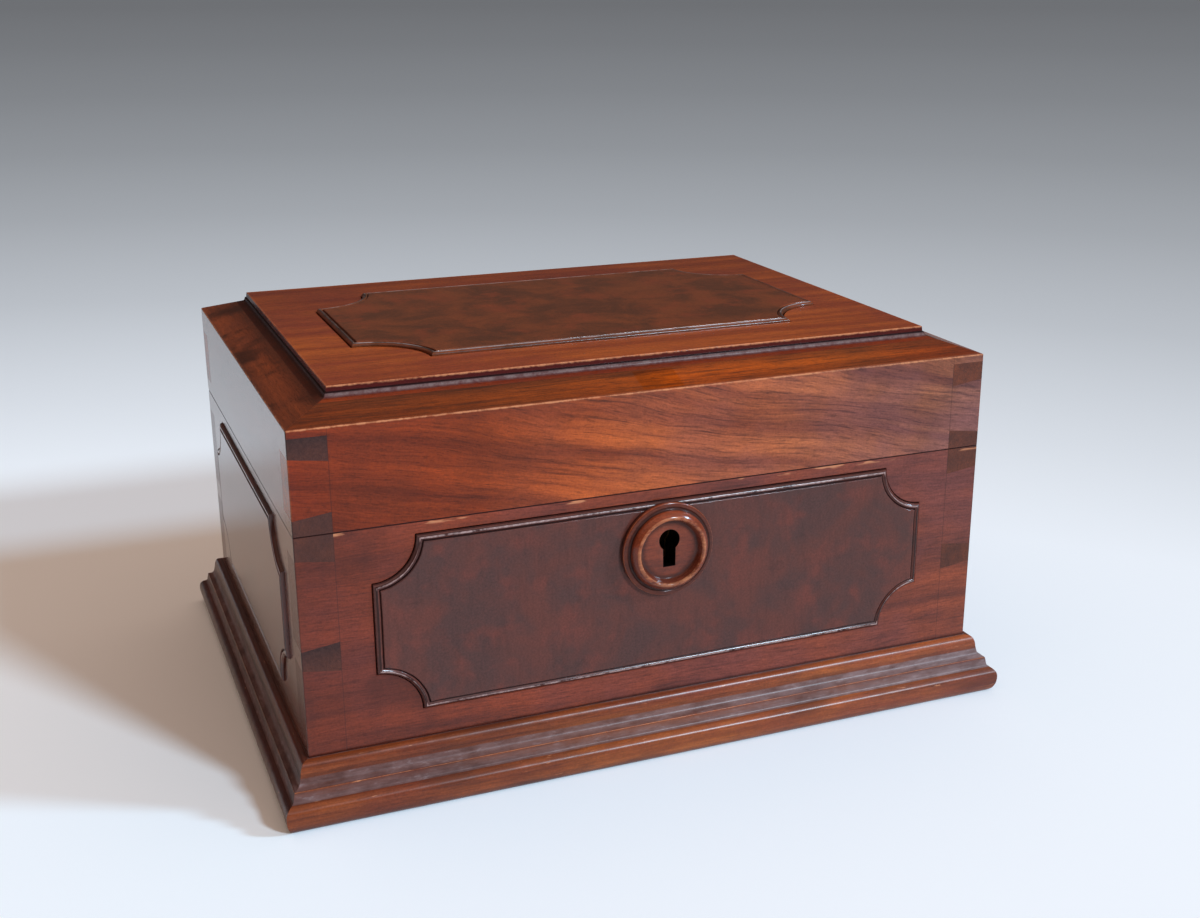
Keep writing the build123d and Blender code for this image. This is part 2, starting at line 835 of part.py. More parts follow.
def hinge_leaf(side, middle):
    """A butt hinge leaf; side is -1 for the case's, with the outer knuckles, and 1 for the lid's."""
    pitch = hinge_length / hinge_knuckles
    start = middle - hinge_length / 2
    leaf_face = seam_height + side * hinge_leaf_parting / 2
    leaf_middle = leaf_face + side * hinge_leaf_thickness / 2
    relief = hinge_barrel_radius + hinge_knuckle_gap
    with BuildPart() as leaf:
        with BuildSketch(Plane.XY.offset(leaf_face)):
            with Locations((middle, hinge_y - hinge_leaf_reach / 2)):
                Rectangle(hinge_length, hinge_leaf_reach)
        extrude(amount=side * hinge_leaf_thickness)
        with BuildSketch(Plane.YZ.offset(start)):
            with Locations((hinge_y, seam_height)):
                Circle(relief)
        extrude(amount=hinge_length, mode=Mode.SUBTRACT)
        first = 0 if side < 0 else 1
        for knuckle in range(first, hinge_knuckles, 2):
            with BuildSketch(Plane.YZ.offset(start + knuckle * pitch + hinge_knuckle_gap / 2)):
                with Locations((hinge_y, seam_height)):
                    Circle(hinge_barrel_radius)
                with Locations((hinge_y, leaf_middle)):
                    Rectangle(
                        relief + hinge_leaf_thickness,
                        hinge_leaf_thickness,
                        align=(Align.MAX, Align.CENTER),
                    )
            extrude(amount=pitch - hinge_knuckle_gap)
        with BuildSketch(Plane.YZ.offset(start)):
            with Locations((hinge_y, seam_height)):
                Circle(hinge_pin_radius + hinge_pin_play)
        extrude(amount=hinge_length, mode=Mode.SUBTRACT)
        cut_countersinks(hinge_screw_places(side, middle))
    return leaf.part


def hinge_pin(middle):
    """The pin that runs through all the knuckles of a hinge."""
    with BuildPart() as pin:
        with BuildSketch(Plane.YZ.offset(middle - hinge_length / 2)):
            with Locations((hinge_y, seam_height)):
                Circle(hinge_pin_radius)
        extrude(amount=hinge_length)
    return pin.part


for hand, middle in hinge_places.items():
    write(hinge_leaf(-1, middle), f"{hand}_hinge_case_leaf")
    write(hinge_leaf(1, middle), f"{hand}_hinge_lid_leaf")
    write(hinge_pin(middle), f"{hand}_hinge_pin")
    write(screw_group(hinge_screw_places(-1, middle), screw_length), f"{hand}_hinge_case_screws")
    write(screw_group(hinge_screw_places(1, middle), screw_length), f"{hand}_hinge_lid_screws")
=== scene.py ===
"""Dresses a dovetailed letter box with a hinged lid: woods, mouldings, let-in fields and brass.

Lengths in the classes are millimetres, and meshes are written in metres. The frame has +X to the
right, -Y out of the front with the keyhole and +Z up, with the origin under the middle of the box.
"""

import logging
import math
from dataclasses import dataclass
from enum import Enum
from typing import Sequence

import bmesh
import bpy
import numpy as np
from mathutils import Euler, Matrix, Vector


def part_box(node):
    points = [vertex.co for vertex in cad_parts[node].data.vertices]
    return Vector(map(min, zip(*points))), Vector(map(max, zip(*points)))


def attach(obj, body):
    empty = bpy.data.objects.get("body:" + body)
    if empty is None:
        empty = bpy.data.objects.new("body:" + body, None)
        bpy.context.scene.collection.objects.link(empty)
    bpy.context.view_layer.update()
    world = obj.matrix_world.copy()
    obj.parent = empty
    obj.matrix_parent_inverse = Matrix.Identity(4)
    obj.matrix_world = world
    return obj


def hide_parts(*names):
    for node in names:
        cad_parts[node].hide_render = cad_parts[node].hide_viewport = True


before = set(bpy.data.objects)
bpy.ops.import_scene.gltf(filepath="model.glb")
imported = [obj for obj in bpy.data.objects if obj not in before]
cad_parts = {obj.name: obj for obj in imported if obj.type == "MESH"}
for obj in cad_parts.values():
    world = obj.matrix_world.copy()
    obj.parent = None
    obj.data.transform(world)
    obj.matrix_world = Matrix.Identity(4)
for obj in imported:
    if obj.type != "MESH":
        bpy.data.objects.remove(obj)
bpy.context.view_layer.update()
LOG = logging.getLogger("letter_box")
MM = 0.001
BORDER_SLOPE = math.tan(math.radians(18.3))  # rise of the lid's sloping border, each unit inwards
NEAR = 0.05  # how close to a face, in millimetres, counts as on it

Link = bpy.types.NodeSocket
Colour = tuple[float, float, float]
Tints = tuple[tuple[float, Colour], ...]
Vector3 = tuple[float, float, float]
Loop = np.ndarray
Section = tuple[tuple[float, float, float, float], ...]


# ------------------------------------------------------------------ sizes read from the frame


def corners_mm(node: str) -> tuple[np.ndarray, np.ndarray]:
    """The lowest and highest corners of a CAD node, in millimetres."""
    low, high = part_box(node)
    return np.array(low) / MM, np.array(high) / MM


@dataclass(frozen=True)
class Carcass:
    """The box's main faces, read from the nodes that carry them."""

    half_w: float
    half_d: float
    wall: float
    rim: float
    lid_foot: float
    lid_edge: float
    lid_inner: float
    table: float
    plinth_head: float
    plinth_reach: float
    field_proud: float

    @classmethod
    def from_frame(cls) -> "Carcass":
        """Measures the nodes of the frame.

        Returns:
            The faces' places.
        """
        case_low, case_high = corners_mm("case_front_board")
        lid_low, lid_high = corners_mm("lid_front_board")
        _, plinth_high = corners_mm("plinth_right")
        _, table_high = corners_mm("lid_top_board")
        _, field_high = corners_mm("top_field")
        wall = case_high[1] - case_low[1]
        return cls(
            half_w=float(case_high[0]),
            half_d=float(-case_low[1]),
            wall=float(wall),
            rim=float(case_high[2]),
            lid_foot=float(lid_low[2]),
            lid_edge=float(lid_high[2] - wall * BORDER_SLOPE),
            lid_inner=float(lid_high[2]),
            table=float(table_high[2]),
            plinth_head=float(plinth_high[2]),
            plinth_reach=float(plinth_high[0] - case_high[0]),
            field_proud=float(field_high[2] - table_high[2]),
        )

    @property
    def inner_w(self) -> float:
        """Half the width between the side boards."""
        return self.half_w - self.wall

    @property
    def inner_d(self) -> float:
        """Half the depth between the front and back boards."""
        return self.half_d - self.wall


BOX = Carcass.from_frame()


# ------------------------------------------------------------------ shader maths


class Value:
    """A number in a shader, with Python's operators adding Math nodes."""

    def __init__(self, shader: "Shader", socket: bpy.types.NodeSocket) -> None:
        """Wraps an output socket of a shader's node."""
        self.shader = shader
        self.socket = socket

    def _math(self, operation: str, *others: "Value | float", clamp: bool = False) -> "Value":
        """Adds one Math node with this value first.

        Args:
            operation: Blender's name for it.
            others: the second and third inputs.
            clamp: whether the result is kept from 0 to 1.

        Returns:
            The node's result.
        """
        settings = {"operation": operation, "use_clamp": clamp}
        sockets = {index: value for index, value in enumerate((self, *others))}
        return Value(self.shader, self.shader.node("ShaderNodeMath", settings, sockets).outputs[0])

    def __add__(self, other: "Value | float") -> "Value":
        """Sum."""
        return self._math("ADD", other)

    __radd__ = __add__

    def __mul__(self, other: "Value | float") -> "Value":
        """Product."""
        return self._math("MULTIPLY", other)

    __rmul__ = __mul__

    def __sub__(self, other: "Value | float") -> "Value":
        """Difference."""
        return self._math("SUBTRACT", other)

    def __rsub__(self, other: float) -> "Value":
        """Difference from a plain number."""
        return (self * -1.0) + other

    def __truediv__(self, other: "Value | float") -> "Value":
        """Quotient."""
        return self._math("DIVIDE", other)

    def __pow__(self, other: "Value | float") -> "Value":
        """Power."""
        return self._math("POWER", other)

    def __abs__(self) -> "Value":
        """Size without sign."""
        return self._math("ABSOLUTE")

    def at_least(self, other: "Value | float") -> "Value":
        """The larger of two values."""
        return self._math("MAXIMUM", other)

    def at_most(self, other: "Value | float") -> "Value":
        """The smaller of two values."""
        return self._math("MINIMUM", other)

    def log(self) -> "Value":
        """The natural logarithm."""
        return self._math("LOGARITHM", math.e)

    def clamped(self) -> "Value":
        """The value kept from 0 to 1."""
        return self._math("ADD", 0.0, clamp=True)

    def ramp(self, low: "Value | float", high: "Value | float") -> "Value":
        """A smooth step from 0 at low to 1 at high.

        Args:
            low: where the step starts.
            high: where it ends; it may be less than low, and the step then falls.

        Returns:
            The step's value, from 0 to 1.
        """
        sockets = {"Value": self, "From Min": low, "From Max": high, "To Min": 0.0, "To Max": 1.0}
        made = self.shader.node("ShaderNodeMapRange", {"interpolation_type": "SMOOTHSTEP"}, sockets)
        return Value(self.shader, made.outputs["Result"])


def length_of(first: Value, second: Value) -> Value:
    """The distance that two perpendicular distances make."""
    return (first * first + second * second) ** 0.5


def linear(red: int, green: int, blue: int) -> Colour:
    """A colour written as display values from 0 to 255, as linear light."""
    scaled = [channel / 255 for channel in (red, green, blue)]
    return tuple(c / 12.92 if c <= 0.04045 else ((c + 0.055) / 1.055) ** 2.4 for c in scaled)


class Shader:
    """A material under construction, or the world, with one method that adds any node."""

    def __init__(self, tree: bpy.types.NodeTree, output: str) -> None:
        """Empties the tree and adds its output.

        Args:
            tree: the node tree to fill.
            output: the type of its output node.
        """
        self.tree = tree
        tree.nodes.clear()
        self.output = tree.nodes.new(output)
        self._point: Link | None = None

    def node(
        self, kind: str, settings: dict | None = None, sockets: dict | None = None
    ) -> bpy.types.Node:
        """Adds a node: its settings first, then its sockets' values or links.

        Args:
            kind: the node's type.
            settings: the node's properties, and "stops" for a ramp's positions and colours.
            sockets: values or links by the input's name or number.

        Returns:
            The node.
        """
        made = self.tree.nodes.new(kind)
        for key, value in (settings or {}).items():
            if key == "stops":
                self._set_stops(made.color_ramp, value)
            else:
                setattr(made, key, value)
        for key, value in (sockets or {}).items():
            self.feed(made.inputs[key], value)
        return made

    @staticmethod
    def _set_stops(ramp: bpy.types.ColorRamp, stops: Sequence[tuple[float, Colour]]) -> None:
        """Writes a ramp's stops.

        Args:
            ramp: the ramp.
            stops: positions and colours, from the lowest position up.
        """
        while len(ramp.elements) < len(stops):
            ramp.elements.new(1.0)
        for element, (position, colour) in zip(ramp.elements, stops):
            element.position = position
            element.color = (*colour, 1.0)

    def feed(self, target: Link, value: "Value | Link | float | Sequence[float]") -> None:
        """Links a socket to a value, or writes a constant into it.

        Args:
            target: the input.
            value: what goes into it.
        """
        if isinstance(value, Value):
            self.tree.links.new(value.socket, target)
        elif isinstance(value, bpy.types.NodeSocket):
            self.tree.links.new(value, target)
        elif isinstance(value, (tuple, list)) and len(value) == 3 and target.type == "RGBA":
            target.default_value = (*value, 1.0)
        else:
            target.default_value = value

    # -------------------------------------------------------------- places and patterns

    def point(self) -> Link:
        """The place on the object, in millimetres, made once for each material.

        Returns:
            The place.
        """
        if self._point is None:
            place = self.node("ShaderNodeTexCoord").outputs["Object"]
            self._point = self.scaled(place, 1.0 / MM)
        return self._point

    def split(self, vector: Link) -> tuple[Value, Value, Value]:
        """The three parts of a vector."""
        made = self.node("ShaderNodeSeparateXYZ", sockets={0: vector})
        return tuple(Value(self, output) for output in made.outputs)

    def joined(self, x: Value | float, y: Value | float, z: Value | float) -> Link:
        """A vector from three numbers."""
        return self.node("ShaderNodeCombineXYZ", sockets={0: x, 1: y, 2: z}).outputs[0]

    def noise(
        self, vector: Link, pitch: float, detail: float = 2.0, rough: float = 0.5, warp: float = 0.0
    ) -> Value:
        """Smooth noise about 0.5.

        Args:
            vector: where it is read, in millimetres.
            pitch: the size of its blobs, in millimetres.
            detail: how many finer layers it adds.
            rough: how strong the finer layers are.
            warp: how far it distorts itself.

        Returns:
            The noise, mostly from 0.25 to 0.75.
        """
        settings = {"noise_dimensions": "3D"}
        sockets = {
            "Vector": vector,
            "Scale": 1.0 / pitch,
            "Detail": detail,
            "Roughness": rough,
            "Distortion": warp,
        }
        return Value(self, self.node("ShaderNodeTexNoise", settings, sockets).outputs[0])

    def mix(self, amount: Value | float, low: Link | Colour, high: Link | Colour) -> Link:
        """A blend of two colours: low at 0 and high at 1."""
        settings = {"data_type": "RGBA", "clamp_factor": True}
        return self.node("ShaderNodeMix", settings, {0: amount, 6: low, 7: high}).outputs[2]

    def scaled(self, vector: Link, amount: Value | float) -> Link:
        """A colour or a place multiplied by a number."""
        sockets = {0: vector, "Scale": amount}
        return self.node("ShaderNodeVectorMath", {"operation": "SCALE"}, sockets).outputs[0]

    def gradient(self, fraction: Value, stops: Sequence[tuple[float, Colour]]) -> Link:
        """The colour at a fraction of the way along a row of positions and colours."""
        made = self.node("ShaderNodeValToRGB", {"stops": stops}, {"Fac": fraction})
        return made.outputs["Color"]

    def attribute(self, name: str) -> Value:
        """A value that the mesh carries at its points."""
        made = self.node("ShaderNodeAttribute", {"attribute_name": name})
        return Value(self, made.outputs["Fac"])

    def product(self, first: Link | Colour, second: Link | Colour) -> Link:
        """Two colours multiplied."""
        settings = {"operation": "MULTIPLY"}
        return self.node("ShaderNodeVectorMath", settings, {0: first, 1: second}).outputs[0]

    def bump(self, height: Value, depth: float) -> Link:
        """A normal raised by a height from 0 to 1 over a depth in millimetres."""
        sockets = {"Strength": 1.0, "Distance": depth * MM, "Height": height}
        return self.node("ShaderNodeBump", sockets=sockets).outputs[0]

    def surface(
        self,
        base: Link | Colour,
        roughness: Value | float,
        normal: Link | None,
        **others: Value | float,
    ) -> None:
        """Ends the material in a Principled shader.

        Args:
            base: the base colour.
            roughness: the roughness.
            normal: the bumped normal, or None.
            others: what goes into other sockets, by name with underscores for spaces.
        """
        sockets = {"Base Color": base, "Roughness": roughness}
        if normal is not None:
            sockets["Normal"] = normal
        sockets.update({key.replace("_", " "): value for key, value in others.items()})
        made = self.node("ShaderNodeBsdfPrincipled", sockets=sockets)
        self.tree.links.new(made.outputs[0], self.output.inputs["Surface"])


WAX = {"Specular_IOR_Level": 0.05, "Coat_IOR": 1.37, "Coat_Roughness": 0.15}


def new_shader(name: str) -> tuple[bpy.types.Material, Shader]:
    """Makes an empty material and the shader that fills it.

    Args:
        name: the material's name.

    Returns:
        The material and its shader.
    """
    material = bpy.data.materials.new(name)
    material.use_nodes = True
    return material, Shader(material.node_tree, "ShaderNodeOutputMaterial")


# ------------------------------------------------------------------ finishes


class Grain(Enum):
    """The row axis that a board's grain runs along."""

    X = 0
    Y = 1
    Z = 2


@dataclass(frozen=True)
class Palette:
    """The four colours of a wood: its light and dark bands, its red cast and its pores."""

    light: Colour
    dark: Colour
    cast: Colour
    pore: Colour


ROSEWOOD = Palette(
    (0.60, 0.125, 0.026), (0.19, 0.030, 0.009), (0.30, 0.070, 0.034), (0.030, 0.007, 0.005)
)
CASE_WOOD = Palette(
    (0.26, 0.044, 0.014), (0.115, 0.022, 0.010), (0.140, 0.034, 0.026), (0.036, 0.011, 0.009)
)
SIDE_WOOD = Palette(
    (0.28, 0.054, 0.014), (0.120, 0.026, 0.009), (0.160, 0.036, 0.015), (0.026, 0.008, 0.005)
)
TABLE_WOOD = Palette(
    (0.46, 0.092, 0.014), (0.24, 0.036, 0.008), (0.22, 0.032, 0.016), (0.045, 0.009, 0.005)
)
PLINTH_WOOD = Palette(
    (0.47, 0.115, 0.020), (0.165, 0.032, 0.009), (0.19, 0.033, 0.015), (0.040, 0.011, 0.008)
)
# a darker, greyer copy of the plinth's wood for its sides: painted shade
PLINTH_SHADED_WOOD = Palette(
    (0.190, 0.040, 0.013), (0.075, 0.014, 0.006), (0.100, 0.016, 0.008), (0.020, 0.007, 0.005)
)
BURL_WOOD = Palette(
    (0.108, 0.029, 0.020), (0.072, 0.027, 0.022), (0.142, 0.032, 0.021), (0.028, 0.011, 0.009)
)
TOP_BURL = Palette(
    (0.190, 0.042, 0.012), (0.098, 0.026, 0.010), (0.215, 0.040, 0.013), (0.030, 0.009, 0.005)
)
RING_WOOD = Palette(
    (0.245, 0.041, 0.013), (0.125, 0.021, 0.009), (0.170, 0.029, 0.014), (0.022, 0.007, 0.005)
)
INSIDE_WOOD = Palette(
    (0.30, 0.110, 0.045), (0.160, 0.052, 0.022), (0.20, 0.070, 0.036), (0.050, 0.016, 0.009)
)
PEG_WOOD = Palette(
    (0.52, 0.340, 0.140), (0.300, 0.180, 0.070), (0.37, 0.200, 0.080), (0.100, 0.050, 0.018)
)
END_GRAIN: Colour = (0.014, 0.005, 0.005)
END_GRAIN_PALE: Colour = (0.050, 0.017, 0.014)
WORN_WOOD: Colour = (0.64, 0.235, 0.105)
# near black for grooves, hollows, quirks and joins: painted shade, with some grime
SHADE_AND_GRIME: Colour = (0.010, 0.003, 0.003)
# the line along the lid's seam: painted shadow
SEAM_SHADOW: Colour = (0.030, 0.006, 0.005)
# the veil in hollows and coves: dust with a painted sheen of reflected light
DUST_AND_SHEEN: Colour = (0.200, 0.118, 0.104)
# pale specks in the hollows: painted glints
PAINTED_GLINT: Colour = (0.36, 0.27, 0.26)
# the fields' bead: painted highlight with some rubbing
BEAD_HIGHLIGHT: Colour = (0.44, 0.28, 0.25)
BORDER_STREAK: Colour = (0.050, 0.010, 0.003)
# dark brown at the foot of the table's moulding: painted shade
TABLE_FOOT_SHADE: Colour = (0.035, 0.009, 0.004)
# the cove along the lid's sides: painted shade
SIDE_COVE_SHADE: Colour = (0.035, 0.012, 0.008)
FILLET_RED: Colour = (0.055, 0.004, 0.005)
# inside the keyhole's bore: painted shade
KEYHOLE_SHADE: Colour = (0.001, 0.001, 0.001)
# inside the ring's keyhole: painted shade
BORE_SHADE: Colour = (0.002, 0.001, 0.001)
WHITE: Colour = (1.0, 1.0, 1.0)
TABLE_LIP_TINT: Colour = (0.55, 0.36, 0.22)
TABLE_FAR_TINT: Colour = (0.70, 0.64, 0.70)
NO_TINTS: Tints = ((-135.0, WHITE), (135.0, WHITE))
SIDE_BORDER: Tints = ((-135.0, (0.90, 0.90, 0.95)), (135.0, (0.90, 0.90, 0.95)))
FRONT_BORDER: Tints = (
    (-135.0, (0.44, 0.33, 0.16)),
    (-60.0, (0.62, 0.46, 0.12)),
    (10.0, (0.89, 0.63, 0.07)),
    (80.0, (0.70, 0.54, 0.12)),
    (135.0, (0.42, 0.24, 0.12)),
)
LID_TINTS: Tints = (
    (-135.0, (0.46, 0.22, 0.10)),
    (-70.0, (0.56, 0.34, 0.14)),
    (-10.0, (0.90, 0.84, 0.78)),
    (60.0, (0.76, 0.92, 1.50)),
    (135.0, (0.66, 1.05, 2.20)),
)
PLINTH_TINTS: Tints = (
    (-150.0, (0.52, 0.42, 0.50)),
    (-70.0, (0.74, 0.68, 0.80)),
    (40.0, WHITE),
    (150.0, (1.0, 1.0, 1.5)),
)
# tints of the veil along X, brighter and bluer to the right: dust with a painted reflection
PLINTH_DUST_AND_SHEEN_TINTS: Tints = (
    (-150.0, (1.02, 0.86, 0.86)),
    (0.0, (1.3, 1.2, 1.2)),
    (150.0, (1.7, 1.95, 2.15)),
)
CASE_TINTS: Tints = (
    (-135.0, (0.74, 0.64, 0.64)),
    (-60.0, (0.98, 0.92, 1.00)),
    (135.0, (1.02, 1.15, 1.40)),
)


@dataclass(frozen=True)
class StraightTimber:
    """A waxed board with streaks, growth bands and pores along its grain."""

    name: str
    palette: Palette
    grain: Grain
    seed: float = 0.0
    drift: float = 0.0  # how fast the figure leans away from the grain
    wave: float = 2.5  # how far the figure wanders, roughly, in millimetres
    streaks: float = 0.7
    pores: float = 0.25
    flat: bool = False  # the face lies flat, so the figure bends across Y rather than Z
    gloss: float = 0.75

    def pattern(self, shader: Shader, steady: Value | float = 0.0) -> tuple[Link, Value]:
        """Works out the board's colour and its relief.

        The place is squeezed along the grain and bent by broad noise across it, so that the
        bands run long and wander. Bands, streaks and pores are noises of falling pitch there.

        Args:
            shader: the material under construction.
            steady: 1 where the figure runs straight along the grain, unbent.

        Returns:
            The colour, and the relief, which is lower in the pores and the dark streaks.
        """
        place = shader.point()
        parts = shader.split(place)
        along = parts[self.grain.value]
        across = [part for part in parts if part is not along]
        broad = shader.joined(along * 0.30 + self.seed, across[0], across[1])
        bend = (shader.noise(broad, 26.0, 2.0) - 0.5) * (4.0 * self.wave) + along * self.drift
        bend = bend * (1.0 - steady)
        first, second = across[0] + bend * 0.06, across[1] + bend
        if self.flat:
            first, second = across[0] + bend, across[1] + bend * 0.06
        long_place = shader.joined(along * 0.045 + self.seed, first, second)
        short_place = shader.joined(along * 0.09 + self.seed * 3.0, first, second)
        bands = shader.noise(long_place, 8.0, 3.0, 0.6)
        streak = shader.noise(long_place, 1.0, 3.0, 0.7)
        fine = shader.noise(short_place, 0.55, 1.0)
        mottle = shader.noise(place, 0.8, 3.0, 0.7)
        pore_place = shader.joined(along * 0.14 + self.seed, first, second)
        pores = shader.noise(pore_place, 0.36, 0.0).ramp(0.60, 0.72)
        patch = shader.noise(broad, 30.0, 2.0).ramp(0.38, 0.62)
        haze = shader.noise(place, 40.0, 3.0, 0.55).ramp(0.34, 0.68)
        colour = shader.mix(bands.ramp(0.26, 0.74), self.palette.light, self.palette.dark)
        colour = shader.mix(haze * 0.6, colour, self.palette.cast)
        dark_streaks = streak.ramp(0.50, 0.70) * (0.25 + patch * 0.75) * self.streaks
        colour = shader.mix(dark_streaks, colour, self.palette.pore)
        colour = shader.scaled(colour, (0.66 + fine * 0.68) * (0.58 + mottle * 0.84))
        colour = shader.mix(pores * self.pores, colour, self.palette.pore)
        relief = 1.0 - pores * 0.6 - dark_streaks * 0.2 + fine * 0.15
        return colour, relief

    def drawn_out(self, shader: Shader, squeeze: float) -> Link:
        """The place squeezed along the grain, for noises that run long there.

        Args:
            shader: the material under construction.
            squeeze: what the distance along the grain is multiplied by.

        Returns:
            The squeezed place.
        """
        parts = list(shader.split(shader.point()))
        parts[self.grain.value] = parts[self.grain.value] * squeeze
        return shader.joined(*parts)


class WearLine:
    """Where the arrises of a piece are rubbed bright, from distances to its edges."""

    def __init__(self, shader: Shader, width: float) -> None:
        """Makes the noise that breaks the rub.

        Args:
            shader: the material under construction.
            width: how wide the rub is, in millimetres.
        """
        self.shader = shader
        place = shader.point()
        long = shader.noise(place, 26.0, 2.0, 0.55)
        short = shader.noise(place, 2.6, 3.0, 0.65)
        self.reach = (0.70 + short.ramp(0.35, 0.7) * 0.35) * width
        strength = long.ramp(0.30, 0.62) * 0.55 + short.ramp(0.36, 0.58) * 0.5 + 0.12
        self.strength = strength.clamped()
        self.total = Value(shader, shader.node("ShaderNodeValue").outputs[0])

    def add(self, distance: Value, scale: float = 1.0) -> None:
        """Adds an arris, given the distance from it in millimetres."""
        mask = 1.0 - distance.ramp(self.reach * (0.25 * scale), self.reach * scale)
        self.total = self.total.at_least(mask * self.strength)

    def apply(self, colour: Link) -> Link:
        """Rubs the wood's colour bright along all the arrises added."""
        return self.shader.mix(self.total * 0.78, colour, WORN_WOOD)


def tinted(shader: Shader, colour: Link | Colour, tints: Tints) -> Link:
    """Multiplies a colour by tints given at places along X.

    Args:
        shader: the material under construction.
        colour: the colour.
        tints: places in millimetres from the left end to the right, and their tints.

    Returns:
        The tinted colour.
    """
    x, _, _ = shader.split(shader.point())
    low, high = tints[0][0], tints[-1][0]
    stops = [((place - low) / (high - low), tint) for place, tint in tints]
    return shader.product(colour, shader.gradient((x - low) / (high - low), stops))


@dataclass(frozen=True)
class CasePlace:
    """A place on the box, and how far it lies inside the outer faces of its boards."""

    x: Value
    y: Value
    height: Value
    from_side: Value
    from_front: Value
    inside: Value  # the smaller of the two distances

    @classmethod
    def of(cls, shader: Shader) -> "CasePlace":
        """Measures the place that a shader is at.

        Args:
            shader: the material under construction.

        Returns:
            The place and its distances.
        """
        x, y, height = shader.split(shader.point())
        from_side, from_front = BOX.half_w - abs(x), BOX.half_d - abs(y)
        return cls(x, y, height, from_side, from_front, from_side.at_most(from_front))


@dataclass(frozen=True)
class BoardFinish(StraightTimber):
    """A case or lid board: end grain where the pins show, worn arrises and a clean inside."""

    ends_show: bool = False  # the board's ends are pins, seen from the front and the back
    end_depth: float = 0.95  # how dark the end grain is
    smoke: float = 0.35
    face_tints: Tints = NO_TINTS
    border_tints: Tints = NO_TINTS

    def material(self) -> bpy.types.Material:
        """Builds the board's material.

        Returns:
            The material.
        """
        material, shader = new_shader(self.name)
        at = CasePlace.of(shader)
        slope = at.height.ramp(BOX.lid_edge - 0.1, BOX.lid_edge + 0.5)
        colour, relief = self.pattern(shader, slope)
        smoke = shader.noise(shader.point(), 30.0, 3.0, 0.55)
        smokiness = slope * 0.5 + 0.3 if self.grain is Grain.Y else self.smoke
        colour = shader.mix(smoke.ramp(0.50, 0.70) * smokiness, colour, self.palette.pore)
        if self.ends_show:
            colour = self.with_end_grain(shader, colour, at)
        colour = self.with_border(shader, colour, at, slope, smoke)
        colour = self.with_marks_and_shade(shader, colour, at)
        wear = WearLine(shader, 0.70)
        wear.add(length_of(at.from_front, at.height - BOX.lid_edge))
        wear.add(length_of(at.from_side, at.height - BOX.lid_edge), 0.8)
        colour = wear.apply(colour)
        streaky = shader.joined(at.x * 0.10, at.y * 0.10 + self.seed, at.height * 0.6)
        chip = shader.noise(streaky, 2.4, 3.0, 0.6)
        below = (at.height - BOX.rim).ramp(-1.7, -0.7) * (BOX.rim - at.height).ramp(0.0, 0.3)
        chipped = chip.ramp(0.56, 0.62) * below * (1.0 - at.from_front.ramp(0.5, 0.9))
        colour = shader.mix(chipped * 0.7, colour, WORN_WOOD)
        # a dark red line along the seam between lid and case: painted shadow
        seam = abs(at.height - BOX.rim - 0.1).ramp(0.36, 0.22)
        colour = shader.mix(seam * (1.0 - at.inside.ramp(1.5, 2.0)) * 0.8, colour, SEAM_SHADOW)
        # the bore behind the keyhole painted near black: painted shade
        bore = abs(at.x).ramp(8.5, 7.5) * at.from_front.ramp(0.6, 1.0)
        bore = bore * at.from_front.ramp(12.9, 12.5)
        colour = shader.mix(bore * at.height.ramp(100.5, 99.5), colour, KEYHOLE_SHADE)
        rough = 0.40 + shader.noise(shader.point(), 14.0, 3.0) * 0.16 + (1.0 - relief) * 0.1
        coat = (1.0 - wear.total * 0.85) * (0.80 + relief * 0.20) * (1.0 - slope * 0.6)
        coat = coat * self.gloss * (1.0 - bore)
        if self.ends_show:
            coat = coat * (0.75 + at.from_front.ramp(0.15, 0.45) * 0.25)
        normal = shader.bump(relief + smoke * 0.6 + chip * 0.5, 0.05)
        shader.surface(colour, rough, normal, Coat_Weight=coat, **WAX)
        return material

    def with_end_grain(self, shader: Shader, colour: Link, at: CasePlace) -> Link:
        """Shows dark, speckled end grain at the ends of a side board, darker in some pins.

        Args:
            shader: the material under construction.
            colour: the wood's colour.
            at: the place.

        Returns:
            The colour with the end grain.
        """
        end = 1.0 - at.from_front.ramp(0.15, 0.45)
        speck = shader.noise(shader.point(), 1.3, 3.0, 0.7)
        pin = shader.noise(shader.joined(0.0, 0.0, at.height + self.seed), 17.0, 0.0)
        pin = pin.ramp(0.3, 0.7)
        grain = shader.mix(speck.ramp(0.3, 0.7) * 0.6 + pin * 0.4, END_GRAIN, END_GRAIN_PALE)
        return shader.mix(end * (self.end_depth - pin * 0.25), colour, grain)

    def with_border(
        self, shader: Shader, colour: Link, at: CasePlace, slope: Value, smoke: Value
    ) -> Link:
        """Tints the face and the lid's sloping border, and paints shade on the border towards the
        table.

        Args:
            shader: the material under construction.
            colour: the wood's colour.
            at: the place.
            slope: 1 on the sloping border.
            smoke: the noise of the smoky clouds.

        Returns:
            The tinted colour.
        """
        face = tinted(shader, colour, self.face_tints)
        face = shader.mix(at.from_side.ramp(0.2, 0.5), shader.scaled(colour, 0.6), face)
        colour = shader.mix(slope, face, tinted(shader, colour, self.border_tints))
        thin = smoke
        if self.grain is Grain.X:
            thin = shader.noise(shader.joined(at.x * 0.05, at.y, at.height), 1.3, 3.0, 0.7)
        colour = shader.mix(slope * thin.ramp(0.50, 0.66) * 0.6, colour, BORDER_STREAK)
        # painted shade on the border at the foot of the table's moulding
        table_foot_shade = at.height.ramp(BOX.lid_inner - 1.9 - smoke * 1.5, BOX.lid_inner + 0.7)
        return shader.mix(table_foot_shade * 0.7, colour, TABLE_FOOT_SHADE)

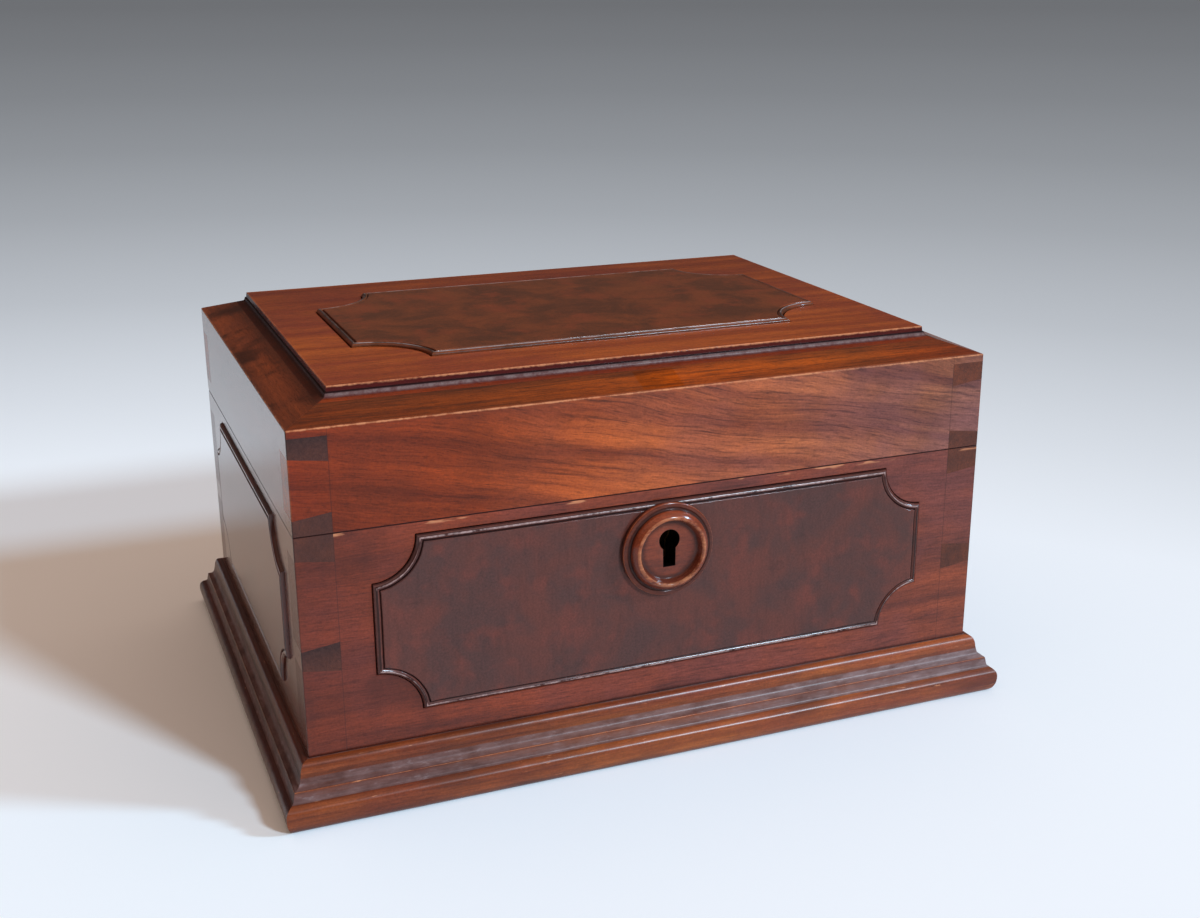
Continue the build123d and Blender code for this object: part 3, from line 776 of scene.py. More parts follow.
    def with_marks_and_shade(self, shader: Shader, colour: Link, at: CasePlace) -> Link:
        """Scribes the joiner's gauge line beside the pins, and paints shade on the wood above the
        plinth.

        Args:
            shader: the material under construction.
            colour: the wood's colour.
            at: the place.

        Returns:
            The marked colour.
        """
        gauge = length_of(at.from_side - BOX.wall, at.from_front)
        scribed = (1.0 - gauge.ramp(0.08, 0.28)) * 0.4
        colour = shader.mix(scribed, colour, self.palette.pore)
        # painted shade on the boards just above the plinth, wavering with noise
        stain = shader.noise(shader.point(), 11.0, 3.0, 0.6)
        plinth_shade = 1.0 - (at.height - BOX.plinth_head).ramp(0.1, stain * 2.4 + 0.2)
        outer = 1.0 - at.inside.ramp(0.5, 1.0)
        return shader.mix(plinth_shade * outer * 0.7, colour, SHADE_AND_GRIME)


@dataclass(frozen=True)
class BurlFinish:
    """A dark burl: clouds, curls and eyes without a straight grain."""

    name: str
    palette: Palette
    seed: float = 0.0
    gloss: float = 0.75
    bead: tuple[Colour, Colour] = ((0.045, 0.009, 0.006), (0.100, 0.020, 0.012))

    def pattern(self, shader: Shader) -> tuple[Link, Value, Value]:
        """Works out the burl's clouds, embers, curls and eyes.

        Args:
            shader: the material under construction.

        Returns:
            The colour, the clouds' noise and the relief of the curls.
        """
        x, y, z = shader.split(shader.point())
        place = shader.joined(x + self.seed * 7.0, y, z)
        cloud = shader.noise(place, 22.0, 4.0, 0.58, 0.5)
        ember = shader.noise(shader.joined(x + 90.0, y + self.seed, z), 16.0, 3.0, 0.6)
        curl = shader.noise(shader.joined(x, y, z * 0.16 + self.seed), 2.0, 3.0, 0.6, 0.6)
        eye = shader.noise(place, 5.0, 2.0, 0.6, 1.2)
        speck = shader.noise(place, 0.8, 3.0, 0.7)
        colour = shader.mix(cloud.ramp(0.34, 0.64), self.palette.light, self.palette.dark)
        colour = shader.mix(ember.ramp(0.48, 0.70) * 0.75, colour, self.palette.cast)
        colour = shader.mix(curl.ramp(0.46, 0.70) * 0.16, colour, self.palette.pore)
        colour = shader.mix(eye.ramp(0.62, 0.74) * 0.2, colour, self.palette.pore)
        colour = shader.scaled(colour, 0.48 + speck * 1.04)
        return colour, cloud, speck * 0.4 + curl * 0.6

    def material(self) -> bpy.types.Material:
        """Builds the burl's material.

        The mesh's attribute 'wear' is -1 in the sunk lines, which are painted dark as shade, and
        above 0 on the bead, which gets a painted highlight, with some rubbing, where it nears 1.

        Returns:
            The material.
        """
        material, shader = new_shader(self.name)
        colour, cloud, relief = self.pattern(shader)
        wear = shader.attribute("wear")
        rub = shader.noise(shader.point(), 7.0, 3.0, 0.6)
        nick = shader.noise(shader.point(), 1.5, 2.0, 0.6)
        bead = wear.ramp(0.05, 0.3)
        # the bead painted brighter towards its crest, more on level runs: a painted highlight with
        # some rubbing
        bead_wood = shader.mix(rub.ramp(0.35, 0.65), *self.bead)
        bead_wood = shader.scaled(bead_wood, 0.35 + wear.ramp(0.45, 0.75) * 0.65)
        colour = shader.mix(bead, colour, bead_wood)
        # pale flecks on the bead: a painted highlight with some rubbing
        rubbed_highlight = rub.ramp(0.36, 0.54) * 0.6 + nick.ramp(0.42, 0.60) * 0.5
        rubbed_highlight = (wear.ramp(0.52, 0.85) * rubbed_highlight).clamped()
        colour = shader.mix(rubbed_highlight * 0.75, colour, BEAD_HIGHLIGHT)
        # the sunk lines and the bore's walls painted near black: painted shade, with some grime
        sunk = (wear * -1.0).ramp(0.1, 0.8)
        colour = shader.mix(sunk * 0.92, colour, SHADE_AND_GRIME)
        rough = 0.36 + cloud * 0.16
        coat = (1.0 - sunk * 0.85) * self.gloss
        normal = shader.bump(relief + rub * bead, 0.035)
        shader.surface(colour, rough, normal, Coat_Weight=coat, **WAX)
        return material


@dataclass(frozen=True)
class MouldingFinish(StraightTimber):
    """A worn, handled moulding: rubbed where 'wear' is 1, painted shade, grime, dust and sheen
    where -1.
    """

    dust_and_sheen: float = 0.8
    shade_and_grime: float = 0.5
    dents: float = 1.0
    stains: float = 0.5
    scratches: float = 0.6
    rubbing: float = 0.7
    tints: Tints = NO_TINTS
    # tints along X of the dust and its painted sheen
    dust_and_sheen_tints: Tints = NO_TINTS
    dulling: float = 0.15  # how blurred the wax's reflections are

    def material(self) -> bpy.types.Material:
        """Builds the moulding's material, with dusty hollows, rubbed arrises and scratches.

        Returns:
            The material.
        """
        material, shader = new_shader(self.name)
        colour, relief = self.pattern(shader)
        colour = tinted(shader, colour, self.tints)
        wear = shader.attribute("wear")
        drawn = self.drawn_out(shader, 0.3)
        blotch = shader.noise(shader.point(), 9.0, 4.0, 0.65)
        stain = shader.noise(drawn, 20.0, 3.0, 0.6)
        colour = shader.mix(stain.ramp(0.48, 0.68) * self.stains, colour, self.palette.pore)
        nick = shader.noise(drawn, 1.3, 3.0, 0.65)
        sheen = shader.noise(drawn, 3.0, 3.0, 0.6)
        bore = (wear * -1.0).ramp(1.1, 1.8)
        hollow = (wear * -1.0).ramp(0.0, 0.8)
        colour = self.with_shade_dust_and_sheen(shader, colour, hollow, (blotch, sheen, nick))
        # pale rubbed wood where wear is high; on the plinth's ridge and the ring's crest and rim it
        # also stands for their highlights
        rub = blotch.ramp(0.42, 0.60) * 0.6 + nick.ramp(0.46, 0.62) * 0.5
        rub = (wear.ramp(0.45, 0.95) * rub).clamped()
        colour = shader.mix(rub * self.rubbing, colour, WORN_WOOD)
        scratch = shader.noise(self.drawn_out(shader, 0.12), 0.9, 2.0, 0.7, 0.4)
        scratch = scratch.ramp(0.66, 0.72) * blotch.ramp(0.48, 0.60) * (1.0 - hollow)
        colour = shader.mix(scratch * self.scratches, colour, WORN_WOOD)
        # the keyhole's walls painted near black: painted shade
        colour = shader.mix(bore, colour, BORE_SHADE)
        rough = 0.36 + blotch * 0.2
        coat = (1.0 - rub * 0.7) * (1.0 - hollow * 0.6) * (1.0 - bore) * self.gloss
        height = relief * 0.3 + blotch * 0.6 + sheen * 0.5 + nick * 0.4
        normal = shader.bump(height, 0.10 * self.dents)
        wax = {**WAX, "Coat_Roughness": self.dulling}
        shader.surface(colour, rough, normal, Coat_Weight=coat, **wax)
        return material

    def with_shade_dust_and_sheen(
        self, shader: Shader, colour: Link, hollow: Value, noises: tuple[Value, Value, Value]
    ) -> Link:
        """Lays painted shade with grime, a veil of dust with a painted sheen, and painted glints in
        the hollows.

        Args:
            shader: the material under construction.
            colour: the wood's colour.
            hollow: 1 at the bottom of the hollows.
            noises: the broad, the middling and the fine noise that break the veil and the glints.

        Returns:
            The colour with its shade, dust, sheen and glints.
        """
        blotch, sheen, nick = noises
        # the hollows darkened: painted shade, with some grime
        colour = shader.mix(hollow * self.shade_and_grime, colour, SHADE_AND_GRIME)
        # a grey veil in the hollows: dust with a painted sheen of reflected light
        veil = 0.22 + blotch.ramp(0.25, 0.65) * 0.40 + sheen.ramp(0.30, 0.66) * 0.38
        veil = hollow.ramp(0.3, 1.0) * veil * (0.86 + nick.ramp(0.40, 0.68) * 0.14)
        dust_and_sheen = tinted(shader, DUST_AND_SHEEN, self.dust_and_sheen_tints)
        colour = shader.mix(veil.clamped() * self.dust_and_sheen, colour, dust_and_sheen)
        # pale specks in the hollows: painted glints
        painted_glint = hollow.ramp(0.4, 0.9) * nick.ramp(0.52, 0.76) * sheen.ramp(0.44, 0.60)
        return shader.mix(painted_glint * self.dust_and_sheen * 0.40, colour, PAINTED_GLINT)


@dataclass(frozen=True)
class PlainTimber(StraightTimber):
    """A board without shaped edges, such as the bottom board or a peg."""

    def material(self) -> bpy.types.Material:
        """Builds the plain board's material.

        Returns:
            The material.
        """
        material, shader = new_shader(self.name)
        colour, relief = self.pattern(shader)
        shader.surface(colour, 0.55 + relief * 0.1, shader.bump(relief, 0.05))
        return material


@dataclass(frozen=True)
class MetalFinish:
    """Dull aged metal with tarnish in clouds and fine file marks."""

    name: str
    bright: Colour
    tarnish: Colour
    rough: float = 0.34

    def material(self) -> bpy.types.Material:
        """Builds the metal's material.

        Returns:
            The material.
        """
        material, shader = new_shader(self.name)
        x, y, z = shader.split(shader.point())
        marks = shader.noise(shader.joined(x * 0.12, y * 1.4, z * 1.4), 0.5, 2.0, 0.6)
        cloud = shader.noise(shader.point(), 9.0, 3.0, 0.5)
        speck = shader.noise(shader.point(), 0.9, 2.0, 0.6)
        colour = shader.mix(cloud.ramp(0.30, 0.72), self.bright, self.tarnish)
        colour = shader.mix(speck.ramp(0.58, 0.74) * 0.5, colour, self.tarnish)
        colour = shader.scaled(colour, 0.88 + marks * 0.24)
        rough = self.rough + cloud * 0.2 + marks * 0.08
        shader.surface(colour, rough, shader.bump(marks, 0.02), Metallic=1.0)
        return material


# ------------------------------------------------------------------ meshes from arrays


def rounded(corners: Sequence[Sequence[float]], count: int = 6, closed: bool = True) -> Loop:
    """Rounds the corners of a section drawn with straight lines.

    Each corner P with rounding r gives the curve (1-t)^2 A + 2 t (1-t) P + t^2 B, where A and B
    lie r from P towards the corners before and after it, or half way there if that is nearer.
    The corner's wear w gives each point of that curve the wear 4 w t (1-t) if it is above 0, so
    that it peaks on the arris, and w itself if it is a hollow below 0 or the corner is sharp.

    Args:
        corners: rows of two places, a rounding and a wear; a rounding of 0 leaves it sharp.
        count: how many points each rounded corner gets.
        closed: whether the last corner joins the first; otherwise the two ends stay where they are.

    Returns:
        Rows of two places and a wear, in order, with equal neighbours dropped.
    """
    rows = np.array(corners, float)
    middle, radius, wear = rows[:, :2], rows[:, 2:3], rows[:, 3]
    before, after = np.roll(middle, 1, 0) - middle, np.roll(middle, -1, 0) - middle
    if not closed:
        before[0] = after[-1] = 0.0
    reach = []
    for run in (before, after):
        size = np.maximum(np.linalg.norm(run, axis=1, keepdims=True), 1e-9)
        reach.append(middle + run / size * np.minimum(radius, size / 2))
    t = np.linspace(0.0, 1.0, count)[None, :, None]
    start, end = reach[0][:, None], reach[1][:, None]
    points = ((1 - t) ** 2 * start + 2 * t * (1 - t) * middle[:, None] + t**2 * end).reshape(-1, 2)
    worn = 4 * t[..., 0] * (1 - t[..., 0]) * wear[:, None]
    worn = np.where((radius > 0) & (wear[:, None] > 0), worn, wear[:, None]).reshape(-1, 1)
    keep = np.linalg.norm(np.roll(points, -1, 0) - points, axis=1) > 1e-6
    keep[-1] = keep[-1] or not closed
    return np.hstack([points, worn])[keep]


def waves(count: int, seed: int, turns: Sequence[int], size: float) -> np.ndarray:
    """A smooth uneven line that closes on itself: the sum of sines with seeded phases.

    Args:
        count: how many places.
        seed: the seed of the phases and strengths.
        turns: how many waves each sine has over the whole line.
        size: the largest value, roughly.

    Returns:
        The line's values.
    """
    random = np.random.default_rng(seed)
    t = np.arange(count)[:, None] / count
    phases = random.uniform(0, 2 * math.pi, len(turns))
    weights = random.uniform(0.4, 1.0, len(turns))
    return (np.sin(2 * math.pi * t * np.array(turns) + phases) * weights).sum(1) * size / len(turns)


def mesh_object(
    name: str,
    points: np.ndarray,
    faces: list[tuple[int, ...]],
    sharp: float = 32.0,
    wear: np.ndarray | None = None,
) -> bpy.types.Object:
    """Makes an object from points in millimetres and faces, smooth but for its sharp edges.

    Args:
        name: the piece's name.
        points: the places, in rows of three.
        faces: the corners of each face, as numbers of points.
        sharp: the angle in degrees over which an edge stays sharp.
        wear: a value for each point, for the attribute of that name.

    Returns:
        The object, at the origin, with its faces turned outwards.
    """
    mesh = bpy.data.meshes.new(name)
    mesh.from_pydata((points * MM).tolist(), [], faces)
    mesh.update()
    if wear is not None:
        layer = mesh.attributes.new("wear", "FLOAT", "POINT")
        layer.data.foreach_set("value", wear.astype(np.float32))
    turned = bmesh.new()
    turned.from_mesh(mesh)
    bmesh.ops.recalc_face_normals(turned, faces=turned.faces)
    turned.to_mesh(mesh)
    turned.free()
    mesh.shade_smooth()
    mesh.set_sharp_from_angle(angle=math.radians(sharp))
    piece = bpy.data.objects.new(name, mesh)
    bpy.context.scene.collection.objects.link(piece)
    return piece


def grid_faces(rows: int, columns: int, wrap: bool, caps: bool) -> list[tuple[int, ...]]:
    """The faces of a stack of closed loops.

    Point (r, c) is number r * columns + c, and each square joins it to (r, c+1), (r+1, c+1) and
    (r+1, c), with c counted round the loop.

    Args:
        rows: how many loops.
        columns: how many points in each loop.
        wrap: whether the last loop joins the first.
        caps: whether the first and last loops are closed by flat faces.

    Returns:
        The faces.
    """
    r = np.arange(rows if wrap else rows - 1)[:, None]
    c = np.arange(columns)[None, :]
    above, right = (r + 1) % rows, (c + 1) % columns
    corners = (r * columns + c, r * columns + right, above * columns + right, above * columns + c)
    squares = np.stack(np.broadcast_arrays(*corners), -1).reshape(-1, 4)
    faces = [tuple(square) for square in squares.tolist()]
    if caps:
        faces.append(tuple(range(columns))[::-1])
        faces.append(tuple(range((rows - 1) * columns, rows * columns)))
    return faces


def loft_object(
    name: str,
    loops: np.ndarray,
    wrap: bool = False,
    sharp: float = 32.0,
    wear: np.ndarray | None = None,
) -> bpy.types.Object:
    """Makes a closed piece from a stack of loops.

    Args:
        name: the piece's name.
        loops: places in millimetres, by loop, by point of the loop, in threes.
        wrap: whether the last loop joins the first; otherwise flat faces close the two ends.
        sharp: the angle in degrees over which an edge stays sharp.
        wear: a value for each loop and point, for the attribute of that name.

    Returns:
        The piece.
    """
    rows, columns, _ = loops.shape
    faces = grid_faces(rows, columns, wrap, caps=not wrap)
    flat_wear = None if wear is None else wear.reshape(-1)
    return mesh_object(name, loops.reshape(-1, 3), faces, sharp, flat_wear)


def paint(piece: bpy.types.Object, material: bpy.types.Material) -> None:
    """Gives a new piece its one material."""
    piece.data.materials.clear()
    piece.data.materials.append(material)


def put(piece: bpy.types.Object, body: str, node: str) -> None:
    """Makes a piece ride on a body and stand for a CAD node, which it hides.

    Args:
        piece: the new piece.
        body: the body that it moves with.
        node: the CAD node that it stands for.
    """
    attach(piece, body)
    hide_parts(node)
    LOG.info("%s: %d faces on %s", piece.name, len(piece.data.polygons), body)


def refinish(node: str, material: bpy.types.Material) -> None:
    """Gives a CAD node that is shown as it is a better material.

    Args:
        node: the node's name.
        material: the material.
    """
    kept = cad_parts[node]
    if not kept.material_slots:
        kept.data.materials.append(material)
    for place in kept.material_slots:
        place.material = material
    LOG.info("%s: %s", node, material.name)


# ------------------------------------------------------------------ boards


@dataclass
class Boards:
    """The eight dovetailed boards, taken from their nodes and eased along their arrises."""

    arris: float = 0.45  # how far the border's outer arris is eased
    corner: float = 0.4  # the upright corners
    seam: float = 0.1  # the outer edges where the lid meets the case
    groove: float = 0.3  # the edges of the fields' recesses
    inner: float = 0.3  # the inner edges where the lid meets the case
    drop: float = 0.18  # how far the lid's foot comes down at its front, for a close seam
    merged: float = 0.002  # points nearer than this become one
    flat: float = 1.0  # faces that meet within this angle, in degrees, become one
    blunt: float = 10.0  # edges that turn less than this, in degrees, aren't eased
    short: float = 30.0  # inner edges no longer than this bound mortises, and stay sharp

    def build(self) -> None:
        """Makes and dresses every board."""
        for face in ("front", "back", "left", "right"):
            for body in ("case", "lid"):
                node = f"{body}_{face}_board"
                piece = self.eased_copy(node)
                finish = self.finish(body, face)
                paint(piece, finish.material())
                put(piece, body, node)

    @staticmethod
    def finish(body: str, face: str) -> BoardFinish:
        """Chooses a board's finish: figured front and back boards, and pins on the side boards.

        Args:
            body: case or lid.
            face: front, back, left or right.

        Returns:
            The finish.
        """
        lid, side = body == "lid", face in ("left", "right")
        front_wood, front_tints = (ROSEWOOD, LID_TINTS) if lid else (CASE_WOOD, CASE_TINTS)
        return BoardFinish(
            name=f"{body} {face} board wood",
            palette=SIDE_WOOD if side else front_wood,
            grain=Grain.Y if side else Grain.X,
            seed=float(sum(map(ord, f"{body}_{face}_board")) % 97) * 3.7,
            drift=0.20 if lid else 0.02,
            wave=3.2 if lid else 1.8,
            streaks=0.60 if lid else 0.38,
            gloss=1.0 if side else 0.72,
            face_tints=NO_TINTS if side else front_tints,
            border_tints=SIDE_BORDER if side else FRONT_BORDER,
            ends_show=side,
            end_depth=0.62 if face == "right" else 0.97,
            smoke=0.22 if lid else 0.4,
        )

    def eased_copy(self, node: str) -> bpy.types.Object:
        """Copies a board's node, merges its flat faces, and bevels its edges by where they lie.

        Args:
            node: the board's node.

        Returns:
            The new piece with a bevel weighted edge by edge.
        """
        work = bmesh.new()
        work.from_mesh(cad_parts[node].data)
        bmesh.ops.remove_doubles(work, verts=work.verts, dist=self.merged * MM)
        if node.startswith("lid") and "back" not in node:
            self.lower_foot(work)
        flat = math.radians(self.flat)
        bmesh.ops.dissolve_limit(work, angle_limit=flat, verts=work.verts, edges=work.edges)
        weights = work.edges.layers.float.new("bevel_weight_edge")
        for edge in work.edges:
            edge[weights] = self.weight(edge) / self.arris
        mesh = bpy.data.meshes.new(node + "_eased")
        work.to_mesh(mesh)
        work.free()
        mesh.materials.clear()
        mesh.shade_flat()
        piece = bpy.data.objects.new(node + "_eased", mesh)
        bpy.context.scene.collection.objects.link(piece)
        bevel = piece.modifiers.new("eased arrises", "BEVEL")
        bevel.limit_method = "WEIGHT"
        bevel.width = self.arris * MM
        bevel.segments = 3
        bevel.use_clamp_overlap = True
        bevel.miter_outer = "MITER_ARC"
        bevel.harden_normals = False
        return piece

    def lower_foot(self, work: bmesh.types.BMesh) -> None:
        """Lowers a lid board's foot by drop (half_d - y) / (2 half_d), so by 0 at the hinges.

        Args:
            work: the board, in metres.
        """
        for vert in work.verts:
            if vert.co.z < (BOX.lid_foot + 0.01) * MM:
                vert.co.z -= self.drop * (MM / 2 - vert.co.y / (2 * BOX.half_d))

    def weight(self, edge: bmesh.types.BMEdge) -> float:
        """How far an edge is eased, from the faces of the box that it lies on.

        Args:
            edge: the board's edge.

        Returns:
            A width in millimetres, or 0 for an edge that stays sharp.
        """
        turn = math.radians(self.blunt)
        if len(edge.link_faces) != 2 or edge.calc_face_angle_signed(0.0) < turn:
            return 0.0
        ends = np.array([vert.co for vert in edge.verts]) / MM
        x, y, z = np.abs(ends[:, 0]), np.abs(ends[:, 1]), ends[:, 2]
        on_side, on_front = np.all(x > BOX.half_w - NEAR), np.all(y > BOX.half_d - NEAR)
        at_seam = np.all((z > BOX.rim - NEAR) & (z < BOX.lid_foot + NEAR))
        if on_side or on_front:
            if np.all(np.abs(z - BOX.lid_edge) < NEAR):
                return self.arris
            if on_side and on_front:
                return self.corner
            if at_seam:
                return self.seam
            level = np.all((z > BOX.plinth_head + 5) & (z < BOX.rim - 2))
            if level and np.all(x < BOX.inner_w - 3 if on_front else y < BOX.inner_d - 3):
                return self.groove
        inside = np.all(x < BOX.inner_w + NEAR) and np.all(y < BOX.inner_d + NEAR)
        if inside and at_seam and np.ptp(ends, axis=0).max() > self.short:
            return self.inner
        return 0.0


# ------------------------------------------------------------------ plinth


@dataclass
class Plinth:
    """The four mitred sides of the moulded plinth."""

    # Negative wear paints the hollows with shade, grime and a veil; the ridge's wear paints pale
    # rubbed wood that also stands for its highlight.
    section: Section = (  # reach from the case's face, height, rounding, wear
        (0.0, 0.0, 0.0, 0.0),
        (0.0, 23.15, 0.0, -0.6),
        (0.35, 23.15, 0.1, -0.5),
        (0.7, 23.15, 0.1, 0.0),
        (2.6, 22.9, 1.5, 0.1),
        (3.6, 20.6, 1.1, 0.05),
        (3.8, 18.6, 0.6, -0.35),
        (4.5, 15.4, 2.8, -1.0),
        (6.55, 14.5, 0.05, -0.5),
        (6.75, 14.4, 0.35, 0.9),
        (6.85, 14.0, 0.05, -0.45),
        (7.1, 12.7, 0.4, -0.55),
        (7.45, 10.8, 1.2, -1.0),
        (9.1, 10.1, 1.1, 0.3),
        (10.78, 8.2, 3.2, 0.0),
        (10.72, 4.2, 3.8, -0.08),
        (9.6, 1.2, 1.8, -0.3),
        (8.2, 0.0, 0.6, -0.5),
    )
    stations: int = 160
    unevenness: float = 0.16

    def side(self, face: str, seed: int) -> bpy.types.Object:
        """One side: section point p goes to s = (2t - 1)(half + reach of p) along the face.

        The reach is drawn back a little by waves along the side and round the section, so that
        hand-run edges waver; the waves fade at the mitres, where the four sides meet.

        Args:
            face: front, back, left or right.
            seed: the seed of its waves.

        Returns:
            The piece.
        """
        points = rounded(self.section, 8)
        t = np.linspace(0.0, 1.0, self.stations)[:, None]
        along_x = face in ("front", "back")
        half, outer = (BOX.half_w, BOX.half_d) if along_x else (BOX.half_d, BOX.half_w)
        reach, height = points[None, :, 0], points[None, :, 1]
        swell = waves(self.stations, seed, (1, 2, 5, 9, 17, 31), 1.0)[:, None]
        ripple = waves(self.stations, seed + 1, (23, 37, 53), 1.0)[:, None]
        turn = waves(len(points), seed + 2, (1, 2, 3), 1.0)[None, :]
        fade = np.clip(np.minimum(t, 1 - t) * 14, 0, 1) * np.clip(reach / 2.0, 0, 1)
        uneven = 0.5 + 0.5 * np.clip(swell * (1 + turn) + ripple * 0.5, -1, 1)
        s = (2 * t - 1) * (half + reach)
        out = np.broadcast_to(outer + (reach - uneven * fade * self.unevenness), s.shape)
        up = np.broadcast_to(height, s.shape)
        sign = -1.0 if face in ("front", "left") else 1.0
        places = (s, sign * out, up) if along_x else (sign * out, s, up)
        wear = np.broadcast_to(points[None, :, 2], s.shape)
        return loft_object(f"plinth_{face}_moulding", np.stack(places, -1), wear=wear)

    def build(self) -> None:
        """Makes and dresses the four sides."""
        for number, face in enumerate(("front", "back", "left", "right")):
            piece = self.side(face, 11 + number * 7)
            finish = MouldingFinish(
                name=f"plinth {face} wood",
                # the left and right sides take the darker copy: painted shade
                palette=PLINTH_SHADED_WOOD if face in ("left", "right") else PLINTH_WOOD,
                grain=Grain.X if face in ("front", "back") else Grain.Y,
                seed=31.0 + number * 17.0,
                wave=0.8,
                streaks=0.30,
                pores=0.12,
                dents=1.7,
                dust_and_sheen=0.7,
                shade_and_grime=0.7,
                tints=PLINTH_TINTS,
                dust_and_sheen_tints=PLINTH_DUST_AND_SHEEN_TINTS,
                dulling=0.26,
            )
            paint(piece, finish.material())
            put(piece, "case", f"plinth_{face}")


# ------------------------------------------------------------------ fields


@dataclass(frozen=True)
class NotchedOutline:
    """A rectangle whose corners are scooped out by circles centred on them."""

    width: float
    height: float
    notch: float
    arc: int = 15
    across: int = 48
    upright: int = 18

    def loop(self, inset: float, waver: np.ndarray | float = 0.0) -> Loop:
        """The outline drawn inset evenly, counted from the lower right notch.

        A side's points are spaced evenly, and a notch's lie on a circle of radius notch + inset
        about the corner, between the two sides.

        Args:
            inset: how far inside the outline, in millimetres.
            waver: a further inset at each point.

        Returns:
            Rows of two places about the outline's centre.
        """
        half = np.array([self.width / 2, self.height / 2])
        radius = self.notch + inset
        swing = math.pi / 4 - math.asin(min(inset / radius, 1.0))
        arcs, ways = [], []
        for sx, sy, _ in self.corners:
            angles = math.atan2(-sy, -sx) + np.linspace(1, -1, self.arc) * swing
            ways.append(np.stack([np.cos(angles), np.sin(angles)], 1))
            arcs.append(half * (sx, sy) + radius * ways[-1])
        points, inward = [], []
        for number, (_, _, count) in enumerate(self.corners):
            start, end = arcs[number][-1], arcs[(number + 1) % 4][0]
            t = np.linspace(0, 1, count + 2)[1:-1, None]
            side = start * (1 - t) + end * t
            way = -np.sign(start) * ((1, 0) if number % 2 == 0 else (0, 1))
            points += [arcs[number], side]
            inward += [ways[number], np.broadcast_to(way, side.shape)]
        outline = np.concatenate(points)
        return outline + np.concatenate(inward) * np.broadcast_to(waver, (self.size,))[:, None]

    @property
    def corners(self) -> tuple[tuple[int, int, int], ...]:
        """Each notch's side in X and in Y, and how many points the side after it has."""
        upright, across = self.upright, self.across
        return (1, -1, upright), (1, 1, across), (-1, 1, upright), (-1, -1, across)

    @property
    def size(self) -> int:
        """How many points a loop has."""
        return 4 * self.arc + 2 * (self.across + self.upright)


TABLE_RECESS = NotchedOutline(195.0, 114.0, 24.0, across=44, upright=24)


@dataclass
class Field:
    """A burl field with a hand-worked bead and sunk line round it, let into a recess."""

    outline: NotchedOutline
    origin: Vector3
    right: Vector3
    up: Vector3
    out: Vector3
    seed: int
    section: Section = (  # inset from the recess, level from the face, rounding, wear
        (0.08, -3.0, 0.0, -1.0),
        (0.08, -0.8, 0.0, -1.0),
        (0.30, -0.8, 0.1, -1.0),
        (0.34, 0.55, 0.25, 0.25),
        (1.25, 1.55, 0.95, 1.2),
        (2.15, 0.9, 0.2, 0.25),
        (2.35, 0.7, 0.15, -1.0),
        (2.55, 0.75, 0.1, -1.0),
        (2.7, 1.4, 0.35, 0.0),
        (3.4, 1.4, 0.0, 0.0),
    )
    waver: float = 0.16

    def loops(self) -> tuple[np.ndarray, np.ndarray]:
        """The stack of outlines, one for each point of the section.

        Waves draw the outline in and let the level dip between the field's foot and its face. The
        bead's wear, which its finish paints as a highlight with some rubbing, is stronger where it
        runs along the first axis: its wear w becomes w (0.36 + 0.64 c), where c is that axis's
        share of the outline's direction.

        Returns:
            Places along right, up and out by loop and point, and each point's wear.
        """
        section = rounded(self.section, 5, closed=False)
        count = self.outline.size
        edge = waves(count, self.seed, (3, 7, 13, 29, 47), 1.0) * self.waver
        rise = waves(count, self.seed + 5, (5, 11, 19, 41), 1.0) * self.waver * 0.5
        bead = self.outline.loop(1.3)
        run = np.abs(np.roll(bead, -1, 0) - np.roll(bead, 1, 0))
        level_run = run[:, 0] / (run[:, 0] + run[:, 1])
        rows = []
        for inset, level, _ in section:
            share = min(max((inset - 0.3) / 1.2, 0.0), 1.0)
            flat = self.outline.loop(inset, share * (edge + self.waver))
            top = min(max((level + 1.5) / 2.9, 0.0), 1.0)
            dip = np.minimum(rise, 0.0) * (1 - abs(2 * top - 1))
            rows.append(np.column_stack([flat, level + dip]))
        wear = np.repeat(section[:, 2:3], count, 1)
        return np.stack(rows), np.where(wear > 0, wear * (0.36 + 0.64 * level_run), wear)

    def placed(self, loops: np.ndarray) -> np.ndarray:
        """Moves places along right, up and out into the frame."""
        axes = np.array([self.right, self.up, self.out])
        return loops @ axes + np.array(self.origin)

    def piece(self, name: str) -> bpy.types.Object:
        """Makes the field as one closed piece with a flat top and foot."""
        loops, wear = self.loops()
        return loft_object(name, self.placed(loops), wear=wear)


